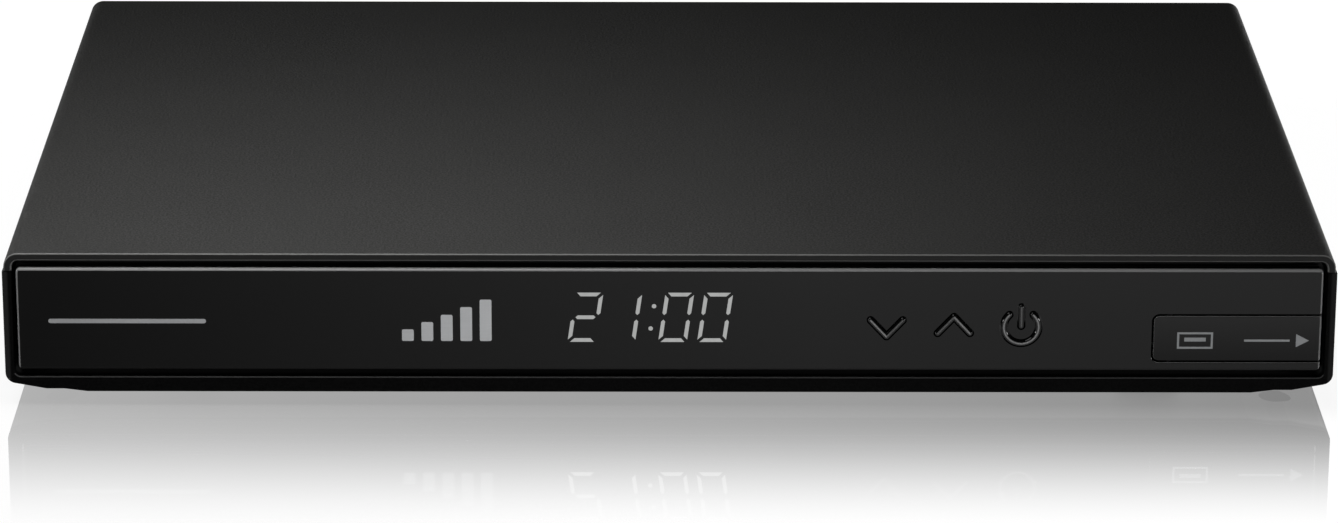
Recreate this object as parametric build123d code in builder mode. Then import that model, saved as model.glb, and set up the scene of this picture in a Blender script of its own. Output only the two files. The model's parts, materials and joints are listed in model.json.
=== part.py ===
from build123d import *
import os
from math import radians, tan

# A slim digital multimedia receiver: a moulded lower case and top cover, a gloss front with three
# symbol keys, a clock display and a hinged door over a data socket, and a steel rear plate.
# Lengths are millimetres. X runs right as seen from the front, Y to the back and Z up.
# The origin is under the middle of the whole part, on the surface that the feet stand on.

# Cuts run this far past the faces that they open
OVERRUN = 1.0
# Radial room of a plain pin or shank in its hole
PIN_ROOM = 0.05
# Room between pieces that slide into each other by hand
SLIP = 0.2

# Case, both shells together
CASE_W = 260.0
CASE_D = 180.0
CASE_H = 28.4
FOOT_STAND = 3.1
WALL = 1.8
SEAM_DROP = 3.7
SEAM_GAP = 0.15

# Lower case: stepped margins of the underside, front sill and rear lip
FLAT_MARGIN = 16.0
LEDGE_OUTER = 11.5
LEDGE_INNER = 8.0
STEP_RISE = 0.55
BILGE_RISE = 1.45
CASE_CORNER_R = 2.2
SILL_H = 3.05
SILL_CORNER_R = 1.2
SILL_EDGE_R = 0.35
LIP_D = 1.5
LIP_H = 1.4

# Vents: slots in the floor and in both side walls
FLOOR_VENT_W = 2.2
FLOOR_VENT_LENGTH = 30.0
FLOOR_VENT_PITCH = 5.2
FLOOR_VENT_COUNT = 9
FLOOR_VENT_SPREAD = 96.0
SIDE_VENT_W = 1.8
SIDE_VENT_LENGTH = 11.0
SIDE_VENT_PITCH = 4.2
SIDE_VENT_COUNT = 14
SIDE_VENT_LIFT = 13.0
SIDE_VENT_BACK = 62.0

# Top cover
COVER_T = 1.5
COVER_SIDE_T = 1.6
COVER_INSET = 0.3
COVER_EDGE_R = 2.8
COVER_FRONT_R = 0.4
COVER_MOUTH_EDGE = 0.35
RAIL_T = 1.2
RAIL_DROP = 2.6
RAIL_END = 26.0
RIB_T = 1.2
RIB_H = 1.4
RIB_COUNT = 5

# Posts and screws that hold the two shells together
POST_R = 4.5
POST_INSET = 9.2
POST_FRONT = 16.5
POST_BACK = 17.0
POST_H = 9.0
HEAD_WELL_R = 3.2
HEAD_WELL_FLOOR = 2.0
COVER_POST_R = 3.6
CASE_SCREW_R = 1.5
CASE_SCREW_HEAD_R = 2.9
CASE_SCREW_HEAD_H = 2.2
CASE_SCREW_BITE = 8.0

# Small screws for the boards, the front carrier and the rear plate
SMALL_SCREW_R = 1.1
SMALL_HEAD_R = 2.3
SMALL_HEAD_H = 1.5
SMALL_BITE = 2.8
SMALL_BOSS_R = 3.0
SMALL_BOSS_H = 2.6

# Rubber feet
FOOT_R = 7.0
FOOT_TAPER = 0.8
FOOT_SEAT = 0.6
FOOT_EDGE_R = 0.5
FOOT_SIDE = 34.0
FOOT_END = 26.0

# Gloss front panel
PANEL_SIDE_GAP = 0.9
PANEL_TOP_GAP = 1.4
PANEL_LOW_GAP = 1.6
PANEL_PROUD = 0.4
PANEL_T = 2.5
PANEL_EDGE_R = 0.6
PANEL_CORNER_R = 0.9
PEG_R = 1.2
PEG_END = 1.0
PEG_INSET = 5.0
PEG_SIDE = 6.4
PEG_DISPLAY_GAP = 8.7

# Front carrier behind the panel
CARRIER_SET = 4.6
CARRIER_T = 1.6
CARRIER_ROOM = 0.3
PAD_INSET = 1.2
CARRIER_TAB_W = 12.0
CARRIER_TAB_D = 15.0
CARRIER_TAB_HOLE = 4.5
CARRIER_TAB_ARM_GAP = 8.5

# Hinged door over the front data socket
DOOR_W = 32.75
DOOR_H = 9.2
DOOR_T = 2.0
DOOR_GAP = 0.38
DOOR_LIFT = 2.1
DOOR_CORNER_R = 1.1
DOOR_EDGE_R = 0.2
HINGE_INSET = 3.2
HINGE_PIN_R = 0.45
HINGE_PIN_END = 1.0
TAIL_ROOM = 1.9
CATCH_W = 1.0
CATCH_H = 4.0
CATCH_D = 2.6
CATCH_INSET = 4.5
CATCH_ROOM = 0.45

# Keys: raised symbols in symbol-shaped openings, each on a flange with a stem behind
KEY_TO_DOOR = 25.95
KEY_PITCH = 13.14
KEY_LIFT = 9.1
KEY_PROUD = 0.35
KEY_ROOM = 0.3
KEY_STROKE = 1.05
KEY_EDGE_R = 0.4
KEY_FLANGE_T = 1.4
KEY_FLANGE_MARGIN = 0.9
KEY_REST_GAP = 0.05
KEY_STEM_R = 1.6
CHEVRON_HALF_W = 3.15
CHEVRON_H = 3.4
CHEVRON_SHIFT = 0.35
RING_R = 3.4
RING_OPEN_ANGLE = 86.0
BAR_LENGTH = 4.95
BAR_SHIFT = 2.1

# Tact switches on the front board
SWITCH_W = 6.0
SWITCH_H = 3.5
SWITCH_BORE_D = 2.6
PLUNGER_R = 1.7
PLUNGER_OUT = 1.5
PLUNGER_IN = 1.2

# Clock display: four slanted seven-segment digits and a colon
DISPLAY_TO_KEY = 46.15
DISPLAY_LIFT = 10.95
DISPLAY_W = 36.0
DISPLAY_H = 14.4
DISPLAY_ROOM = 0.4
DISPLAY_POCKET_D = 1.3
DISPLAY_T = 8.3
DIGIT_H = 10.16
DIGIT_W = 5.6
DIGIT_SLANT = 8.0
DIGIT_PITCH = 7.6
PAIR_PITCH = 17.7
SEGMENT_W = 0.95
SEGMENT_GAP = 0.14
SEGMENT_D = 0.4
COLON_R = 0.55
COLON_SPREAD = 4.6
COLON_SHIFT = 0.4

# Front board and what stands on it
FRONT_BOARD_T = 1.2
FRONT_BOARD_MARGIN = 7.0
FRONT_BOARD_TRIM = 1.6
FRONT_BOARD_SCREW_INSET = 3.2
EYE_TO_KEY = 15.0
EYE_W = 6.0
EYE_H = 7.0
EYE_T = 4.0
EYE_LENS_R = 2.4
EYE_ROOM = 0.5

# Main board: a wide rear part and an arm that carries the front socket
BOARD_T = 1.6
BOARD_SIDE = 14.5
BOARD_D = 100.0
BOARD_BACK_GAP = 0.6
ARM_W = 32.0
ARM_FRONT_GAP = 1.0
BOARD_CORNER_R = 2.0
BOARD_SCREW_INSET = 6.0

# Front data socket
USB_W = 13.1
USB_H = 5.7
USB_LENGTH = 14.0
USB_SHEET = 0.3
USB_INSET = 13.5
USB_TONGUE_W = 11.1
USB_TONGUE_T = 1.84
USB_TONGUE_SET = 1.6
USB_TONGUE_DROP = 0.7

# Rear plate: sheet steel with a foot flange
PLATE_T = 1.0
PLATE_ROOM = 0.15
PLATE_FLANGE_D = 11.0
PLATE_FLANGE_W = 16.0
PLATE_FLANGE_SPREAD = 128.0
PLATE_VENT_W = 2.2
PLATE_VENT_LENGTH = 12.0
PLATE_VENT_PITCH = 4.0
PLATE_VENT_COUNT = 6
PORT_ROOM = 0.4

# Places of the rear sockets along the rear plate, from the middle
AUDIO_X_SHARE = -0.13
LAN_X_SHARE = 0.02
VIDEO_X_SHARE = 0.14
VENT_X_SHARE = 0.24
POWER_X_SHARE = 0.34

# Tuner with two aerial connectors, set in from the left edge of the main board
TUNER_INSET = 10.3
TUNER_W = 44.0
TUNER_D = 34.0
TUNER_H = 14.0
TUNER_LID_T = 0.6
TUNER_LID_LAP = 3.0
AERIAL_PITCH = 20.0
AERIAL_R = 4.75
AERIAL_ROOT_R = 5.0
AERIAL_REACH = 11.0
AERIAL_COLLAR_R = 6.9
AERIAL_COLLAR_T = 1.6
AERIAL_MOUTH_R = 2.9
AERIAL_MOUTH_D = 2.0
AERIAL_CONTACT_R = 0.6
AERIAL_CONTACT_D = 7.0
AERIAL_EDGE = 0.5

# Digital audio jack
AUDIO_R = 4.15
AUDIO_REACH = 9.0
AUDIO_BORE_R = 1.65
AUDIO_BORE_D = 8.5
AUDIO_SLEEVE_T = 0.55
AUDIO_CUP_D = 6.0
AUDIO_BODY_W = 11.0
AUDIO_BODY_H = 13.0
AUDIO_BODY_D = 10.0

# Network socket
LAN_W = 16.0
LAN_H = 13.4
LAN_D = 16.0
LAN_PROUD = 0.4
LAN_MOUTH_W = 11.8
LAN_MOUTH_H = 7.4
LAN_MOUTH_D = 11.5
LAN_MOUTH_LIFT = 4.2
LAN_LATCH_W = 6.2
LAN_LATCH_H = 2.0
LAN_LAMP_W = 2.6
LAN_LAMP_H = 1.6
LAN_LAMP_D = 1.0
LAN_LAMP_INSET = 1.0
LAN_CONTACT_COUNT = 8
LAN_CONTACT_PITCH = 1.02
LAN_CONTACT_W = 0.45
LAN_CONTACT_LENGTH = 7.0

# Video socket
VIDEO_W = 15.0
VIDEO_H = 5.6
VIDEO_D = 12.0
VIDEO_SHEET = 0.45
VIDEO_CHAMFER = 1.7
VIDEO_MOUTH_D = 9.0
VIDEO_TONGUE_W = 11.2
VIDEO_TONGUE_T = 1.3
VIDEO_TONGUE_SET = 1.2
VIDEO_PROUD = 0.3

# Power inlet
DC_BODY_W = 9.0
DC_BODY_H = 11.0
DC_BODY_D = 13.5
DC_COLLAR_R = 4.2
DC_BORE_R = 3.1
DC_BORE_D = 10.0
DC_PIN_R = 1.05
DC_PIN_SET = 1.2
DC_LIFT = 6.5
DC_PROUD = 0.3

# Chips, heat sink and other board parts, with their places on the wide part of the main board
CHIP_W = 25.0
CHIP_T = 1.9
PAD_W = 22.0
PAD_T = 0.6
SINK_W = 38.0
SINK_BASE_T = 2.2
SINK_FIN_H = 8.0
SINK_FIN_T = 1.3
SINK_FIN_COUNT = 9
CHIP_PLACE_SHARES = (-0.02, 0.06)
MEMORY_W = 10.0
MEMORY_D = 13.0
MEMORY_T = 1.1
MEMORY_PLACE_SHARES = ((0.135, 0.18), (0.135, -0.10))
FLASH_W = 18.0
FLASH_D = 12.0
FLASH_T = 1.2
FLASH_PLACE_SHARES = (-0.16, -0.05)
CAPACITOR_R = 4.0
CAPACITOR_H = 11.5
CAPACITOR_EDGE_R = 0.6
CAPACITOR_GROOVE = 0.4
CAPACITOR_PLACE_SHARES = (
    (0.30, 0.16),
    (0.345, 0.16),
    (0.39, 0.16),
    (0.30, -0.02),
    (0.345, -0.02),
    (-0.27, -0.18),
)
COIL_W = 10.0
COIL_H = 4.5
COIL_EDGE_R = 1.2
COIL_PLACE_SHARES = ((0.24, 0.10), (0.24, -0.06), (0.39, -0.06))
CRYSTAL_W = 11.0
CRYSTAL_D = 4.6
CRYSTAL_H = 3.6
CRYSTAL_PLACE_SHARES = (-0.16, 0.13)

# Flat ribbon cable between the boards, with a header at each end
RIBBON_W = 11.0
RIBBON_T = 0.3
RIBBON_BEND_SHARE = 0.21
HEADER_W = 15.0
HEADER_D = 4.5
HEADER_H = 2.8
HEADER_LIFT = 9.0
RIBBON_LEVEL_SHARE = 0.24

# Heights, from the surface under the feet
z_under = FOOT_STAND
z_top = FOOT_STAND + CASE_H
z_seam = z_top - SEAM_DROP
z_floor = z_under + WALL
z_ceiling = z_top - COVER_T
z_panel_low = z_under + SILL_H + PANEL_LOW_GAP
z_panel_high = z_ceiling - PANEL_TOP_GAP
z_panel_mid = (z_panel_low + z_panel_high) / 2
z_door_low = z_panel_low + DOOR_LIFT
z_door_high = z_door_low + DOOR_H
z_door_mid = (z_door_low + z_door_high) / 2
z_board = z_door_mid - USB_H / 2
z_board_under = z_board - BOARD_T
z_small_boss = z_floor + SMALL_BOSS_H
z_post_top = z_floor + POST_H
z_keys = z_panel_low + KEY_LIFT
z_display = z_panel_low + DISPLAY_LIFT

# Depths, with the reach of the keys and of the aerial connectors balanced about the origin
front_reach = PANEL_PROUD + KEY_PROUD
rear_reach = AERIAL_REACH - LIP_D
y_front = front_reach - (front_reach + CASE_D + rear_reach) / 2
y_rear = y_front + CASE_D
y_panel_front = y_front - PANEL_PROUD
y_panel_back = y_panel_front + PANEL_T
y_carrier_front = y_front + CARRIER_SET
y_carrier_back = y_carrier_front + CARRIER_T
y_pad_inside = y_panel_back + CARRIER_T
y_hinge = y_panel_front + DOOR_T / 2
y_display_front = y_panel_back - DISPLAY_POCKET_D + DISPLAY_ROOM
y_front_board = y_display_front + DISPLAY_T
y_front_board_back = y_front_board + FRONT_BOARD_T
y_plunger_tip = y_front_board - SWITCH_H - PLUNGER_OUT
y_plate_out = y_rear - LIP_D
y_plate_in = y_plate_out - PLATE_T
y_board_back = y_plate_in - BOARD_BACK_GAP
y_board_mid = y_board_back - BOARD_D / 2
y_board_front = y_board_back - BOARD_D
y_arm_front = y_carrier_back + ARM_FRONT_GAP

# Widths and the row of front features, counted from the panel's right edge
half_w = CASE_W / 2
panel_half = half_w - WALL - PANEL_SIDE_GAP
door_left = panel_half - DOOR_W
x_hinge = door_left + HINGE_INSET
x_usb = door_left + USB_INSET
x_power_key = door_left - KEY_TO_DOOR
x_up_key = x_power_key - KEY_PITCH
x_down_key = x_up_key - KEY_PITCH
x_display = x_down_key - DISPLAY_TO_KEY
x_eye = x_down_key - EYE_TO_KEY
board_half = half_w - BOARD_SIDE
symbol_half = RING_R + KEY_STROKE / 2
flange_half = symbol_half + KEY_FLANGE_MARGIN
display_place = (x_display, z_display)
eye_place = (x_eye, z_display)
key_places = [(x_down_key, z_keys), (x_up_key, z_keys), (x_power_key, z_keys)]

# Corner patterns
post_y = (y_front + POST_FRONT, y_rear - POST_BACK)
post_places = [(s * (half_w - POST_INSET), y) for s in (-1, 1) for y in post_y]
foot_places = {
    "foot_front_left": (FOOT_SIDE - half_w, y_front + FOOT_END),
    "foot_front_right": (half_w - FOOT_SIDE, y_front + FOOT_END),
    "foot_rear_left": (FOOT_SIDE - half_w, y_rear - FOOT_END),
    "foot_rear_right": (half_w - FOOT_SIDE, y_rear - FOOT_END),
}
board_screw_places = [
    (s * (board_half - BOARD_SCREW_INSET), y)
    for s in (-1, 1)
    for y in (y_board_front + BOARD_SCREW_INSET, y_board_back - LAN_D - BOARD_SCREW_INSET)
]
y_carrier_tab = y_carrier_back + CARRIER_TAB_D - CARRIER_TAB_HOLE
carrier_tab_x = board_half - ARM_W - CARRIER_TAB_ARM_GAP
carrier_tab_places = [(s * carrier_tab_x, y_carrier_tab) for s in (-1, 1)]
plate_flange_places = [(s * PLATE_FLANGE_SPREAD / 2, y_plate_out - PLATE_FLANGE_D / 2) for s in (-1, 1)]
front_board_left = x_display - DISPLAY_W / 2 - FRONT_BOARD_MARGIN
front_board_right = x_power_key + flange_half + FRONT_BOARD_MARGIN
front_board_low = z_panel_low + FRONT_BOARD_TRIM
front_board_high = z_panel_high - FRONT_BOARD_TRIM
front_board_screw_places = [
    (x, z)
    for x in (front_board_left + FRONT_BOARD_SCREW_INSET, front_board_right - FRONT_BOARD_SCREW_INSET)
    for z in (front_board_low + FRONT_BOARD_SCREW_INSET, front_board_high - FRONT_BOARD_SCREW_INSET)
]
port_x = {
    "tuner": TUNER_INSET + TUNER_W / 2 - board_half,
    "audio": AUDIO_X_SHARE * CASE_W,
    "lan": LAN_X_SHARE * CASE_W,
    "video": VIDEO_X_SHARE * CASE_W,
    "vent": VENT_X_SHARE * CASE_W,
    "power": POWER_X_SHARE * CASE_W,
}
aerial_x = [port_x["tuner"] + s * AERIAL_PITCH / 2 for s in (-1, 1)]
z_aerial = z_board + TUNER_H / 2
z_audio = z_board + AUDIO_BODY_H - AUDIO_BODY_W / 2
z_dc = z_board + DC_LIFT
z_video = z_board + VIDEO_H / 2
z_lan = z_board + LAN_H / 2

ON_BASE = (Align.CENTER, Align.CENTER, Align.MIN)


def facing_front(y):
    """Plane at depth y that looks to the front: its axes are world X and Z."""
    return Plane(origin=(0, y, 0), x_dir=(1, 0, 0), z_dir=(0, -1, 0))


def facing_right(x):
    """Plane at side position x that looks right: its axes are world Y and Z."""
    return Plane(origin=(x, 0, 0), x_dir=(0, 1, 0), z_dir=(1, 0, 0))


def save(piece, name):
    """Label a finished piece and write it as one STEP file."""
    piece.part.label = name
    export_step(piece.part, f"parts/{name}.step")


def on_board(place_shares):
    """Place on the wide part of the main board, from shares of the case's width and the board's depth."""
    across, along = place_shares
    return (across * CASE_W, y_board_mid + along * BOARD_D)


def lower_section(y, top, inset=0):
    """Cross-section of the lower case at depth y, up to a height, drawn in all round by an inset."""
    with BuildSketch(facing_front(y)) as section:
        with BuildLine():
            Polyline(
                (0, z_under),
                (half_w - FLAT_MARGIN, z_under),
                (half_w - LEDGE_OUTER, z_under + STEP_RISE),
                (half_w - LEDGE_INNER, z_under + STEP_RISE),
                (half_w, z_under + STEP_RISE + BILGE_RISE),
                (half_w, top + inset),
                (0, top + inset),
            )
            mirror(about=Plane.YZ)
        make_face()
        columns = section.vertices().group_by(Axis.X)
        fillet([columns[0].sort_by(Axis.Y)[0], columns[-1].sort_by(Axis.Y)[0]], CASE_CORNER_R)
        if inset:
            offset(amount=-inset, mode=Mode.REPLACE)
    return section.sketch


def upright_rectangle(y, x0, x1, z0, z1):
    """Rectangle that stands at depth y between two sides and two heights."""
    with BuildSketch(facing_front(y)) as shape:
        with Locations(((x0 + x1) / 2, (z0 + z1) / 2)):
            Rectangle(x1 - x0, z1 - z0)
    return shape.sketch


def discs(plane, places, radius):
    """Round discs of one radius at places on a plane."""
    with BuildSketch(plane) as shape:
        with Locations(*places):
            Circle(radius)
    return shape.sketch


def chevron(y, place, points_up, room=0):
    """Arrow of two rounded strokes that meet in a point, standing at depth y."""
    x, z = place
    turn = 1 if points_up else -1
    arm = Vector(CHEVRON_HALF_W, CHEVRON_H)
    with BuildSketch(facing_front(y)) as shape:
        for side in (-1, 1):
            with Locations((x + side * CHEVRON_HALF_W / 2, z + turn * CHEVRON_SHIFT)):
                lean = -side * turn * Vector(1, 0).get_angle(arm)
                SlotCenterToCenter(arm.length, KEY_STROKE + 2 * room, rotation=lean)
    return shape.sketch


def standby_symbol(y, place, room=0):
    """Ring with an open top and a bar through the opening, standing at depth y."""
    start = 90 + RING_OPEN_ANGLE / 2
    x, z = place
    stroke = KEY_STROKE + 2 * room
    ring = CenterArc((x, z), RING_R, start, 360 - RING_OPEN_ANGLE)
    with BuildSketch(facing_front(y)) as shape:
        SlotArc(ring, stroke)
        with Locations((x, z + BAR_SHIFT)):
            SlotCenterToCenter(BAR_LENGTH - KEY_STROKE, stroke, rotation=90)
    return shape.sketch


def digit_segments(y, x):
    """The seven pointed bars of one slanted digit, centred at x and standing at depth y."""
    lean = tan(radians(DIGIT_SLANT))
    half_stroke = SEGMENT_W / 2
    reach_x = DIGIT_W / 2 - half_stroke
    reach_z = DIGIT_H / 2 - half_stroke
    level_bars = [(0, reach_z), (0, 0), (0, -reach_z)]
    upright_bars = [(sx * reach_x, sz * reach_z / 2) for sx in (-1, 1) for sz in (-1, 1)]
    half_level = reach_x - SEGMENT_GAP
    half_upright = reach_z / 2 - SEGMENT_GAP
    level = [
        (-half_level, 0),
        (half_stroke - half_level, half_stroke),
        (half_level - half_stroke, half_stroke),
        (half_level, 0),
        (half_level - half_stroke, -half_stroke),
        (half_stroke - half_level, -half_stroke),
    ]
    upright = [
        (0, half_upright),
        (half_stroke, half_upright - half_stroke),
        (half_stroke, half_stroke - half_upright),
        (0, -half_upright),
        (-half_stroke, half_stroke - half_upright),
        (-half_stroke, half_upright - half_stroke),
    ]
    with BuildSketch(facing_front(y)) as shape:
        for bars, outline in ((level_bars, level), (upright_bars, upright)):
            for bar_x, bar_z in bars:
                points = [(bar_x + px, bar_z + pz) for px, pz in outline]
                with BuildLine():
                    Polyline(*[(x + px + pz * lean, z_display + pz) for px, pz in points], close=True)
                make_face()
    return shape.sketch


def screws(plane, places, shank_r, shank_length, head_r, head_h):
    """Pan-head screws: heads stand on the plane, shanks go through it."""
    with BuildPart() as group:
        extrude(discs(plane, places, head_r), amount=head_h)
        outward = Axis(plane.origin, plane.z_dir)
        fillet(group.faces().group_by(outward)[-1].edges(), head_h / 3)
        extrude(discs(plane, places, shank_r), amount=-shank_length)
    return group


os.makedirs("parts", exist_ok=True)

# Lower case: a tray of one section, with its inner posts and its slots
with BuildPart() as bottom_case:
    extrude(lower_section(y_rear, z_seam), amount=CASE_D)
    cavity = lower_section(y_rear + OVERRUN, z_seam + OVERRUN, WALL)
    extrude(cavity, amount=CASE_D - CARRIER_SET + OVERRUN, mode=Mode.SUBTRACT)
    with BuildSketch(facing_front(y_carrier_front)) as front_opening:
        with Locations((0, (z_under + SILL_H + z_top) / 2)):
            Rectangle(2 * (half_w - WALL), z_top - z_under - SILL_H)
        fillet(front_opening.vertices().group_by(Axis.Y)[0], SILL_CORNER_R)
    extrude(amount=CARRIER_SET + OVERRUN, mode=Mode.SUBTRACT)
    front_edges = bottom_case.edges().filter_by(Axis.X).group_by(Axis.Y)[0]
    fillet(front_edges.sort_by(SortBy.LENGTH)[-1], SILL_EDGE_R)
    extrude(lower_section(y_rear, z_seam), amount=LIP_D)
    lip_opening = lower_section(y_rear + OVERRUN, z_seam + OVERRUN, WALL + LIP_H)
    extrude(lip_opening, amount=LIP_D + OVERRUN, mode=Mode.SUBTRACT)
    extrude(discs(Plane.XY.offset(z_floor), post_places, POST_R), amount=POST_H)
    extrude(discs(Plane.XY.offset(z_floor), board_screw_places, SMALL_BOSS_R), amount=z_board_under - z_floor)
    low_bosses = carrier_tab_places + plate_flange_places
    extrude(discs(Plane.XY.offset(z_floor), low_bosses, SMALL_BOSS_R), amount=SMALL_BOSS_H)
    extrude(
        discs(Plane.XY.offset(z_post_top - HEAD_WELL_FLOOR), post_places, HEAD_WELL_R),
        amount=-(z_post_top - HEAD_WELL_FLOOR),
        mode=Mode.SUBTRACT,
    )
    extrude(
        discs(Plane.XY.offset(z_post_top), post_places, CASE_SCREW_R + PIN_ROOM),
        amount=-HEAD_WELL_FLOOR - OVERRUN,
        mode=Mode.SUBTRACT,
    )
    pilot_r = SMALL_SCREW_R + PIN_ROOM
    for pilot_top, places in ((z_board_under, board_screw_places), (z_small_boss, low_bosses)):
        pilots = discs(Plane.XY.offset(pilot_top), places, pilot_r)
        extrude(pilots, amount=-SMALL_BITE - SLIP, mode=Mode.SUBTRACT)
    foot_seats = discs(Plane.XY.offset(z_under + FOOT_SEAT), foot_places.values(), FOOT_R + PIN_ROOM)
    extrude(foot_seats, amount=-FOOT_SEAT - OVERRUN, mode=Mode.SUBTRACT)
    with BuildSketch(Plane.XY.offset(z_floor + OVERRUN)):
        with GridLocations(FLOOR_VENT_SPREAD, 0, 2, 1):
            with GridLocations(FLOOR_VENT_PITCH, 0, FLOOR_VENT_COUNT, 1):
                SlotOverall(FLOOR_VENT_LENGTH, FLOOR_VENT_W, rotation=90)
    extrude(amount=-WALL - 2 * OVERRUN, mode=Mode.SUBTRACT)
    for wall_x in (-half_w - OVERRUN, half_w - WALL - OVERRUN):
        with BuildSketch(facing_right(wall_x)):
            with Locations((y_rear - SIDE_VENT_BACK, z_under + SIDE_VENT_LIFT)):
                with GridLocations(SIDE_VENT_PITCH, 0, SIDE_VENT_COUNT, 1):
                    SlotOverall(SIDE_VENT_LENGTH, SIDE_VENT_W, rotation=90)
        extrude(amount=WALL + 2 * OVERRUN, mode=Mode.SUBTRACT)
save(bottom_case, "bottom_case")

# Top cover: a shallow channel with rounded long edges, rails, ribs and hanging posts
cover_half = half_w - COVER_INSET
cover_inner_half = cover_half - COVER_SIDE_T
z_cover_low = z_seam + SEAM_GAP
with BuildPart() as top_cover:
    with BuildSketch(facing_front(y_rear)) as cover_section:
        with Locations((0, (z_cover_low + z_top) / 2)):
            Rectangle(2 * cover_half, z_top - z_cover_low)
        fillet(cover_section.vertices().group_by(Axis.Y)[-1], COVER_EDGE_R)
    extrude(amount=CASE_D)
    for end_face in (top_cover.faces().sort_by(Axis.Y)[0], top_cover.faces().sort_by(Axis.Y)[-1]):
        fillet(end_face.edges().sort_by(Axis.Z)[1:], COVER_FRONT_R)
    with BuildSketch(facing_front(y_rear + OVERRUN)) as cover_inside:
        with Locations((0, (z_cover_low - OVERRUN + z_ceiling) / 2)):
            Rectangle(2 * cover_inner_half, z_ceiling - z_cover_low + OVERRUN)
        fillet(cover_inside.vertices().group_by(Axis.Y)[-1], COVER_EDGE_R - COVER_T)
    extrude(amount=CASE_D + 2 * OVERRUN, mode=Mode.SUBTRACT)
    mouth_edges = [
        edge
        for edge in top_cover.faces().sort_by(Axis.Y)[0].edges()
        if abs(edge.center().X) < cover_inner_half + SLIP and edge.center().Z < z_ceiling + SLIP
    ]
    chamfer(mouth_edges, COVER_MOUTH_EDGE)
    rail_out = half_w - WALL - SLIP
    for rail_left in (-rail_out, rail_out - RAIL_T):
        rail_right = rail_left + RAIL_T
        rail = upright_rectangle(y_rear - RAIL_END, rail_left, rail_right, z_seam - RAIL_DROP, z_ceiling)
        extrude(rail, amount=CASE_D - 2 * RAIL_END)
    rib_span = 2 * (rail_out - RAIL_T)
    with BuildSketch(Plane.XY.offset(z_ceiling)):
        with Locations((0, (y_front + y_rear) / 2)):
            with GridLocations(0, CASE_D / (RIB_COUNT + 1), 1, RIB_COUNT):
                Rectangle(rib_span, RIB_T)
    extrude(amount=-RIB_H)
    lip = upright_rectangle(y_rear, -cover_inner_half, cover_inner_half, z_ceiling - LIP_H, z_ceiling)
    extrude(lip, amount=LIP_D)
    cover_posts = discs(Plane.XY.offset(z_ceiling), post_places, COVER_POST_R)
    extrude(cover_posts, amount=-(z_ceiling - z_post_top))
    pilots = discs(Plane.XY.offset(z_post_top), post_places, CASE_SCREW_R + PIN_ROOM)
    extrude(pilots, amount=CASE_SCREW_BITE + SLIP, mode=Mode.SUBTRACT)
save(top_cover, "top_cover")

# Screws that join the shells, with their heads up in the wells of the lower case
underside = Plane(origin=(0, 0, z_post_top - HEAD_WELL_FLOOR), x_dir=(1, 0, 0), z_dir=(0, 0, -1))
mirrored_places = [(x, -y) for x, y in post_places]
case_screw_length = HEAD_WELL_FLOOR + CASE_SCREW_BITE
case_screws = screws(
    underside, mirrored_places, CASE_SCREW_R, case_screw_length, CASE_SCREW_HEAD_R, CASE_SCREW_HEAD_H
)
save(case_screws, "case_screws")

# Rubber feet, each in its shallow seat
for foot_name, (foot_x, foot_y) in foot_places.items():
    foot_plane = Plane(origin=(foot_x, foot_y, 0), x_dir=(1, 0, 0), z_dir=(0, -1, 0))
    with BuildPart() as foot:
        with BuildSketch(foot_plane) as foot_profile:
            with BuildLine():
                Polyline(
                    (0, 0),
                    (FOOT_R - FOOT_TAPER, 0),
                    (FOOT_R, FOOT_STAND),
                    (FOOT_R, FOOT_STAND + FOOT_SEAT),
                    (0, FOOT_STAND + FOOT_SEAT),
                    close=True,
                )
            make_face()
            outer_low = foot_profile.vertices().group_by(Axis.Y)[0].sort_by(Axis.X)[-1]
            fillet(outer_low, FOOT_EDGE_R)
        revolve(axis=Axis((foot_x, foot_y, 0), (0, 0, 1)))
    save(foot, foot_name)

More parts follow.
